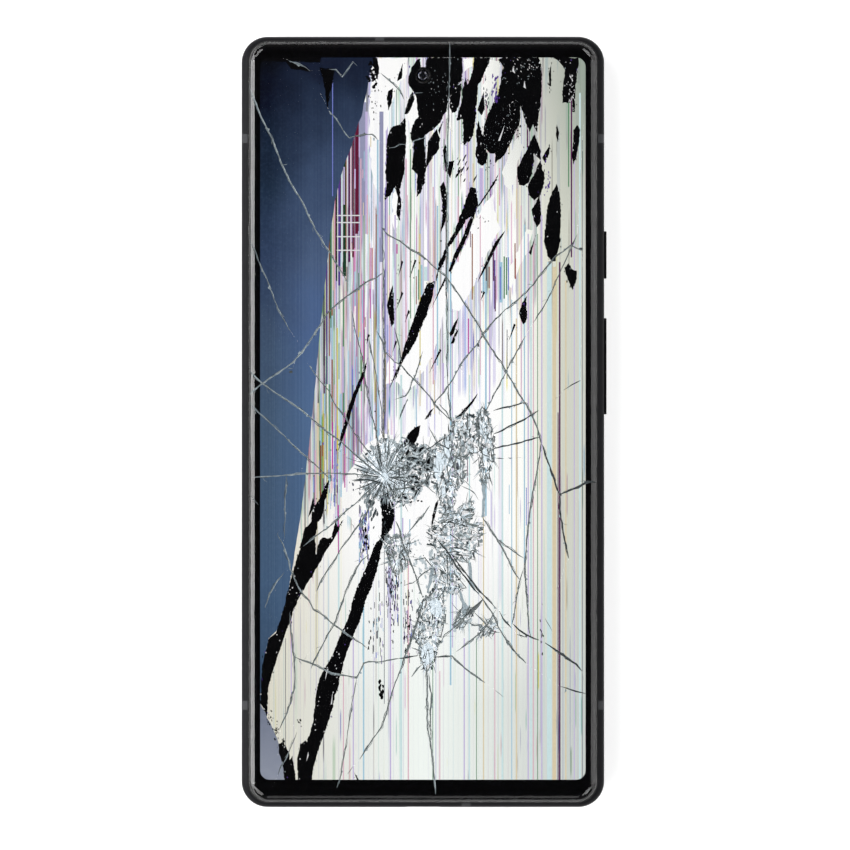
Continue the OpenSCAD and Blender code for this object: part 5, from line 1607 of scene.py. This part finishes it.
def picture_fields(rng):
    yield from [("clear", ragged(points(row), rng, 1.0, 0.2)) for row in rows(CLEAR)]
    yield from line_fields()
    yield from dash_fields(rng)
    yield from column_fields(rng)
    for y in (43.9, 42.4, 39.4, 36.5):
        yield "slit", bar(-18.3, -13.4, y - 0.12, y + 0.12)
    yield from crushed_glass_shade_fields(rng)
    yield "blue", ragged(BLUE, rng, 1.6, 0.05)
    yield "cobalt", bar(-19.3, -19.1, 48, 74.5)
    yield "lavender", ragged(LAVENDER, rng, 1.2, 0.12)
    yield from leak_fields(rng)
    yield from spatter_fields(rng)
    yield from smudge_fields(rng)
    for row in rows(SLITS):
        yield "slit", points(row)


def build_display():
    fields = list(picture_fields(random.Random(77)))
    plan = Plan()
    hx, hy = PANEL_HI.x, PANEL_HI.y
    edge = plan.chain(rounded(-hx, hx, -hy, hy, 2.2), closed=True)
    bore_outline, lit_outline = circle(SELFIE, SELFIE_R), rounded(*LIT, LIT_R)
    hole = plan.chain(bore_outline, closed=True)
    plan.chain(lit_outline, closed=True)
    mx, my = hx - 0.02, hy - 0.02
    for _, outline in fields:
        plan.chain([(max(-mx, min(mx, x)), max(-my, min(my, y))) for x, y in outline], closed=True)
    xy, faces, where = plan.split()
    centres = middles(xy, faces)
    colours = list(SCREEN)
    ink = len(colours)
    tone = np.full(len(faces), colours.index("white"))
    painter = Painter(centres)
    for colour, outline in fields:
        tone[painter.inside(outline)] = colours.index(colour)
    tone[~inside(*centres.T, lit_outline)] = ink
    keep = ~inside(*centres.T, bore_outline)
    tris = [f for f, k in zip(faces, keep) if k]
    mats = [int(t) for t, k in zip(tone, keep) if k]
    # sides and back
    verts = [(x, y, Z_PICTURE) for x, y in xy]
    ring, bore = [where[i] for i in edge], [where[i] for i in hole]
    low = [len(verts) + i for i in range(len(ring))]
    low_bore = [low[-1] + 1 + i for i in range(len(bore))]
    verts += [(*xy[i], PANEL_LO.z) for i in ring + bore]
    tris += wall(ring, low) + [tuple(reversed(f)) for f in wall(bore, low_bore)]
    back = Plan()
    back.chain([tuple(xy[i]) for i in ring], closed=True)
    back.chain([tuple(xy[i]) for i in bore], closed=True)
    back_xy, back_faces, back_where = back.split()
    to = {back_where[k]: i for k, i in enumerate(low + low_bore)}
    outside_bore = ~inside(*middles(back_xy, back_faces).T, bore_outline)
    tris += [tuple(to[i] for i in reversed(f)) for f, k in zip(back_faces, outside_bore) if k]
    mats += [ink] * (len(tris) - len(mats))
    obj = make_mesh("broken_display", verts, tris, [*SCREEN.values(), INK], mats, smooth=False)
    settle(obj, "display", "display_panel")


# ---------------------------------------------------------------- turned parts


def lathe(name, profile, centre, mats, sections, n=64):
    """A turned solid round a line along Z. profile is (radius, z) from the axis out and back to the axis;
    sections gives the material number of each step of it."""
    verts, faces, kinds, rings = [], [], [], []
    for r, z in profile:
        ring = [centre] if r < 1e-6 else circle(centre, r, n)
        rings.append(range(len(verts), len(verts) + len(ring)))
        verts += [(x, y, z) for x, y in ring]
    for a, b, kind in zip(rings, rings[1:], sections):
        for i in range(n):
            j = (i + 1) % n
            if len(a) == 1:
                faces.append((a[0], b[i], b[j]))
            elif len(b) == 1:
                faces.append((a[j], a[i], b[0]))
            else:
                faces.append((a[j], a[i], b[i], b[j]))
            kinds.append(kind)
    obj = make_mesh(name, verts, faces, mats, kinds)
    obj.data.set_sharp_from_angle(angle=math.radians(32))
    return obj


BARREL = finish_of("lens_barrel", (12, 12, 14), (20, 20, 23), (0.35, 0.55), per_mm=2)
RING = finish_of("lens_ring", (12, 12, 14), (24, 24, 27), (0.3, 0.45), per_mm=3, grain=(1, 1, 0.2))


def coated_lens(name, tint):
    g = Graph(name)
    g.set(Base_Color=(0.004, 0.005, 0.008, 1), Roughness=g.spread(g.noise(0.6, 3), 0.3, 0.7, 0.02, 0.06),
          Coat_Weight=1.0, Coat_Roughness=0.02, Coat_Tint=tint)
    return g.mat


def cap(radius, base, rise, angles):
    """Profile of a domed lens; base is the height of the middle of the dome."""
    return [(radius * math.sin(math.radians(a)), base + rise * math.cos(math.radians(a))) for a in angles]


def build_front_lens():
    top, foot = LENS_HI.z, LENS_LO.z
    wide = (LENS_HI.x - LENS_LO.x) / 2
    # walked from the axis out, up, and back over the dome
    profile = [(0, foot), (wide, foot), (wide, top - 2.0), (1.6, top - 2.0), (1.6, top), (1.45, top),
               (1.25, top - 0.3), (1.18, top - 0.5)] + cap(1.15, top - 0.5, 0.42, range(80, -1, -10))
    mats = [BARREL, RING, coated_lens("front_lens_glass", (0.62, 0.66, 0.9, 1))]
    obj = lathe("front_lens", profile, SELFIE, mats, [0] * 6 + [1] + [2] * 9)
    settle(obj, "lens_black", "front_camera")


def prism(outline_at, levels):
    """Points and faces of a solid with the outline outline_at(inset) at each (inset, z)."""
    outlines = [outline_at(d) for d, _ in levels]
    n = len(outlines[0])
    verts = [(x, y, z) for outline, (_, z) in zip(outlines, levels) for x, y in outline]
    rings = [range(k * n, (k + 1) * n) for k in range(len(levels))]
    faces = [tuple(reversed(rings[0]))]
    for a, b in zip(rings, rings[1:]):
        faces += [(a[i], a[(i + 1) % n], b[(i + 1) % n], b[i]) for i in range(n)]
    return verts, faces + [tuple(rings[-1])]


def build_rear_camera(node, tint):
    """A camera module: a barrel with a stepped mouth and a coated lens, on a square body."""
    lo, hi = box_mm(node)
    radius, mouth = BARREL_R[node], lo.z
    eye = radius * 0.52
    profile = cap(eye, mouth + 1.35, -0.5, range(0, 91, 10)) + [
        (eye + 0.12, mouth + 1.35), (eye + 0.3, mouth + 0.95), (radius * 0.74, mouth + 0.8),
        (radius * 0.76, mouth + 0.4), (radius * 0.88, mouth + 0.3), (radius * 0.9, mouth + 0.05),
        (radius * 0.92, mouth), (radius - 0.06, mouth), (radius, mouth + 0.06), (radius, CAMERA_BODY_Z)]
    mats = [BARREL, RING, coated_lens(node + "_glass", tint)]
    sections = [2] * 9 + [0, 1, 0, 1, 0, 1, 0, 0, 0, 0]
    lens = lathe(node.replace("camera", "lens"), profile, middle_of(node), mats, sections)
    corner, chamfer = 0.7, 0.2
    levels = [(chamfer, CAMERA_BODY_Z), (0, CAMERA_BODY_Z + chamfer), (0, hi.z - chamfer), (chamfer, hi.z)]
    verts, faces = prism(lambda d: rounded(lo.x + d, hi.x - d, lo.y + d, hi.y - d, corner - d, 5), levels)
    module = make_mesh(node.replace("camera", "module"), verts, faces, [BARREL], smooth=False)
    settle(lens, "lens_black", node)
    settle(module, "lens_black", node)


def build_camera_glass():
    """The window of the island: clear over each lens, inked black between them."""
    lo, hi = box_mm("camera_window")
    r = (hi.y - lo.y) / 2 - 0.01
    chamfer = 0.12
    outer, inner = (rounded(lo.x + d, hi.x - d, lo.y + d, hi.y - d, r - d, 24) for d in (0, chamfer))
    plan = Plan()
    ring = plan.chain(outer, closed=True)
    margins = {node: 0.0 if node == "flash" else 0.15 for node in BARREL_R}
    holes = [circle(middle_of(node), BARREL_R[node] + margin, 48) for node, margin in margins.items()]
    for hole in holes:
        plan.chain(hole, closed=True)
    xy, faces, where = plan.split()
    clear = np.zeros(len(faces), bool)
    for hole in holes:
        clear |= inside(*middles(xy, faces).T, hole)
    n, m = len(xy), len(ring)
    verts = [(x, y, hi.z) for x, y in xy]
    verts += [(x, y, lo.z + chamfer) for x, y in outer] + [(x, y, lo.z) for x, y in inner]
    rim, mid, low = [where[i] for i in ring], list(range(n, n + m)), list(range(n + m, n + 2 * m))
    sloped = [(mid[i], mid[(i + 1) % m], rim[(i + 1) % m], rim[i]) for i in range(m)]
    sloped += [(low[i], low[(i + 1) % m], mid[(i + 1) % m], mid[i]) for i in range(m)]
    tris = faces + sloped + [tuple(reversed(low))]
    mats = [0 if k else 1 for k in clear] + [0] * (len(sloped) + 1)
    obj = make_mesh("camera_glass", verts, tris, [GLASS, INK], mats, smooth=False)
    settle(obj, "camera_window", "camera_window")


def build_contacts():
    """Contact strips on both faces of the tongue in the port."""
    lo, hi = box_mm("usb_tongue")
    verts, faces = [], []
    rise, half, slope, pitch = 0.03, 0.13, 0.25, 0.5
    a, b = lo.y + 0.5, hi.y - 0.9
    for k in range(12):
        x = pitch * (k - 5.5)
        for z, out in ((hi.z, rise), (lo.z, -rise)):
            first = len(verts)
            for y, lift in ((a, 0), (a + slope, out), (b - slope, out), (b, 0)):
                verts += [(x - half, y, z + lift), (x + half, y, z + lift)]
            strip = [(0, 1, 3, 2), (2, 3, 5, 4), (4, 5, 7, 6), (0, 2, 4, 6), (1, 7, 5, 3)]
            faces += [tuple(first + i for i in (f if out > 0 else reversed(f))) for f in strip]
    obj = make_mesh("port_contacts", verts, faces, [bpy.data.materials["gold_plate"]], smooth=False)
    settle(obj, "mic_gold")


# ---------------------------------------------------------------- finishes of the CAD pieces

# name, dark and light colour, roughness, other settings, nodes
FINISHES = (
    ("gasket_rubber", (9, 9, 10), (17, 17, 18), (0.55, 0.75), dict(per_mm=1.2), "front_gasket rear_gasket"),
    ("antenna_plastic_dark", (34, 35, 37), (42, 43, 46), (0.5, 0.65), dict(Specular_IOR_Level=0.2),
     "antenna_bands"),
    ("rear_glass_black", (13, 14, 17), (19, 20, 24), (0.16, 0.28),
     dict(per_mm=0.25, bump=0.05, fine=10, Coat_Weight=1.0, Coat_Roughness=0.05), "rear_glass"),
    ("bezel_polished", (24, 24, 27), (34, 34, 38), (0.16, 0.3), dict(per_mm=0.8, metal=0.8, grain=(0.2, 2, 2)),
     "camera_bezel"),
    ("shield_metal", (168, 170, 172), (198, 200, 202), (0.25, 0.4), dict(per_mm=0.8, metal=1.0),
     "shield_cans sim_socket usb_shell vibration_motor"),
    ("screw_metal", (150, 152, 156), (182, 184, 188), (0.25, 0.45), dict(per_mm=3, metal=1.0), "screws"),
    ("flex_film", (150, 92, 30), (184, 120, 48), (0.3, 0.45), {},
     "display_flex battery_flex main_flex button_flex"),
    ("board_resin", (20, 70, 48), (34, 96, 66), (0.35, 0.5), dict(per_mm=2.5), "main_board lower_board"),
    ("sensor_resin", (14, 14, 15), (24, 24, 26), (0.4, 0.55), dict(per_mm=2), "fingerprint_sensor"),
    ("inner_moulding", (26, 27, 29), (38, 39, 42), (0.5, 0.65), dict(bump=0.3, fine=6),
     "board_cover earpiece loudspeaker lower_cover usb_tongue"),
    ("foam_sheet", (24, 24, 26), (40, 40, 42), (0.85, 0.95), dict(per_mm=4, bump=0.6, fine=9), "display_foam"),
    ("battery_film", (30, 31, 34), (46, 47, 51), (0.3, 0.45), dict(per_mm=0.4), "battery"),
    ("pull_tab", (214, 214, 210), (234, 234, 230), (0.45, 0.6), dict(per_mm=1.0), "battery_strips"),
    ("coil_wire", (176, 96, 52), (212, 130, 78), (0.25, 0.4), dict(metal=1.0), "charging_coil"),
    ("gold_plate", (196, 158, 84), (222, 188, 112), (0.25, 0.4), dict(per_mm=2, metal=1.0), "microphones"),
)


def rail_finish():
    g = Graph("rail_black")
    cloud = g.noise(0.5, 4, 0.6)
    scratch = g.noise(1.2, 5, 0.75, (1, 0.06, 1))
    anodised = g.ramp(cloud, stops("0.3:18,18,20 0.7:23,23,25"))
    g.set(Base_Color=g.mix(g.spread(scratch, 0.66, 0.72, 0, 0.4), anodised, lin((44, 45, 48))),
          Roughness=g.spread(g.noise(2.0, 5, 0.65), 0.3, 0.7, 0.26, 0.34), Specular_IOR_Level=0.03)
    g.bump(g.noise(14, 2), 0.03, 0.01)
    return g.mat


def weave_finish():
    g = Graph("speaker_weave")
    x, _, z = g.axes()
    across, down = (g.math("SINE", g.math("MULTIPLY", axis, 21.0)) for axis in (x, z))
    weave = g.math("MULTIPLY", across, down)
    # the dips of the weave are painted dark and its crests light: painted shade between the wires
    colour = g.ramp(g.spread(weave, -0.6, 0.6, 0, 1), stops("0.3:8,8,9 0.7:84,86,90"))
    g.set(Base_Color=colour, Metallic=0.8, Roughness=0.4)
    g.bump(weave, 0.6, 0.03)
    return g.mat


def flash_finish():
    """The rings of a moulded lens."""
    g = Graph("flash_diffuser")
    x, y, _ = g.axes()
    cx, cy = middle_of("flash")
    squares = [g.math("POWER", g.math("SUBTRACT", axis, c), 2.0) for axis, c in ((x, cx), (y, cy))]
    away = g.math("POWER", g.math("ADD", *squares), 0.5)
    rings = g.math("SINE", g.math("MULTIPLY", away, 14.0))
    colour = g.ramp(g.spread(rings, -1, 1, 0, 1), stops("0.2:226,214,150 0.8:248,244,222"))
    g.set(Base_Color=colour, Roughness=0.2, Coat_Weight=1.0, Coat_Roughness=0.05)
    g.bump(rings, 0.5, 0.05)
    return g.mat


def dress():
    """Give the pieces that stay as they are in the CAD file their finishes."""
    dressed = [(rail_finish(), "frame sim_tray power_button volume_key"), (weave_finish(), "speaker_mesh"),
               (flash_finish(), "flash")]
    dressed += [(finish_of(*look, **more), nodes) for *look, more, nodes in FINISHES]
    for finish, nodes in dressed:
        for name in nodes.split():
            for slot in NODES[name].material_slots:
                slot.material = finish


# ---------------------------------------------------------------- build

dress()
build_display()
build_glass()
build_front_lens()
build_rear_camera("main_camera", (0.5, 0.7, 0.95, 1))
build_rear_camera("wide_camera", (0.55, 0.85, 0.75, 1))
build_rear_camera("zoom_camera", (0.75, 0.6, 0.95, 1))
build_camera_glass()
build_contacts()

# ---------------------------------------------------------------- studio (in metres)

LAMP_AWAY = 1.25                         # how far from the middle the lamps at the sides stand
VIEW_WIDTH = 180.76 * MM                 # width of the picture at the screen
CAMERA_HEIGHT = 3.0
SENSOR = 36


def add(name, data, place=(0, 0, 0), turn=(0, 0, 0)):
    obj = bpy.data.objects.new(name, data)
    obj.location = place
    obj.rotation_euler = turn
    bpy.context.scene.collection.objects.link(obj)
    return obj


def floor_finish():
    """White paper that also glows a little for the camera, and in mirrors and glass."""
    g = Graph("floor_white")
    g.set(Base_Color=(0.80, 0.80, 0.80, 1), Roughness=0.9, Specular_IOR_Level=0.0)
    path = g.node("ShaderNodeLightPath")
    direct = g.math("ADD", path.outputs["Is Camera Ray"], path.outputs["Is Glossy Ray"])
    seen = g.math("ADD", direct, path.outputs["Is Transmission Ray"], clamp=True)
    glow = g.node("ShaderNodeEmission")
    glow.inputs["Color"].default_value = (1, 1, 1, 1)
    g.link(g.math("MULTIPLY", seen, 0.42), glow.inputs["Strength"])
    both = g.node("ShaderNodeAddShader")
    g.link(g.bsdf.outputs[0], both.inputs[0])
    g.link(glow.outputs[0], both.inputs[1])
    g.link(both.outputs[0], g.tree.nodes["Material Output"].inputs["Surface"])
    return g.mat


def lay_floor():
    half = 30.0
    low = -0.00005       # just under the camera island, so that the two faces don't coincide
    mesh = bpy.data.meshes.new("floor")
    mesh.from_pydata([(x, y, low) for x, y in bar(-half, half, -half, half)], [], [(0, 1, 2, 3)])
    mesh.materials.append(floor_finish())
    add("floor", mesh)


def make_world():
    """Dark overhead, white low down."""
    world = bpy.data.worlds.new("studio")
    bpy.context.scene.world = world
    world.use_nodes = True
    tree = world.node_tree
    sky = tree.nodes["Background"]
    kinds = ("TexCoord", "SeparateXYZ", "ValToRGB")
    where, split, ramp = (tree.nodes.new("ShaderNode" + kind) for kind in kinds)
    tree.links.new(where.outputs["Generated"], split.inputs[0])
    tree.links.new(split.outputs[2], ramp.inputs[0])
    greys = ((0.0, 1.0), (0.08, 1.0), (0.16, 0.20), (0.5, 0.12), (1.0, 0.03))
    fill_ramp(ramp.color_ramp, [(place, (v, v, v, 1)) for place, v in greys])
    tree.links.new(ramp.outputs[0], sky.inputs["Color"])
    sky.inputs["Strength"].default_value = 1.0


def hang_suns():
    zenith = math.radians(42)
    for azimuth in (45, 135, 225, 315):
        data = bpy.data.lights.new(f"sun_{azimuth}", "SUN")
        data.energy = 0.78
        data.angle = math.radians(28)
        add(data.name, data, turn=(zenith, 0, math.radians(azimuth + 90)))


def panel(name, place, width, height, radiance):
    """A soft lamp that faces the phone, with the radiance given."""
    data = bpy.data.lights.new(name, "AREA")
    data.shape = "RECTANGLE"
    data.size, data.size_y = width, height
    data.energy = radiance * math.pi * width * height
    add(name, data, place, (-Vector(place)).to_track_quat("-Z", "Y").to_euler())


def place_lamps():
    panel("lamp_left", (-LAMP_AWAY, 0, 0.60), 0.5, 1.22, 8.0)
    # lamps beside those two carry their glint round the corners of the glass; the far ones stand
    # low, so that the flat of the screen doesn't mirror them at three-quarter view
    fans = {"left": (-1, ((20, 6.0, 0.44, 0.8, 0.60), (40, 4.0, 0.46, 0.22, 0.15), (60, 2.0, 0.46, 0.2, 0.14))),
            "right": (1, ((20, 1.5, 0.44, 0.8, 0.60), (40, 1.0, 0.46, 0.22, 0.15)))}
    for name, (sense, lamps) in fans.items():
        for azimuth, radiance, width, height, rise in lamps:
            for side in (-1, 1):
                turn = math.radians(azimuth * side)
                place = (sense * LAMP_AWAY * math.cos(turn), LAMP_AWAY * math.sin(turn), rise)
                panel(f"lamp_{name}_{azimuth * side}", place, width, height, radiance)
    panel("lamp_right", (LAMP_AWAY, 0, 0.62), 0.5, 1.26, 2.0)
    panel("lamp_foot", (0, -1.2, 0.9), 0.4, 0.7, 1.0)


def place_camera():
    """Straight down on the screen, with a long lens."""
    data = bpy.data.cameras.new("camera")
    data.sensor_width = SENSOR
    data.lens = SENSOR * CAMERA_HEIGHT / VIEW_WIDTH
    data.clip_end = 200
    place = (0.45 * MM, -0.66 * MM, Z_FRONT * MM + CAMERA_HEIGHT)
    bpy.context.scene.camera = add("camera", data, place)


lay_floor()
make_world()
hang_suns()
place_lamps()
place_camera()
bpy.context.scene.view_settings.view_transform = "Standard"
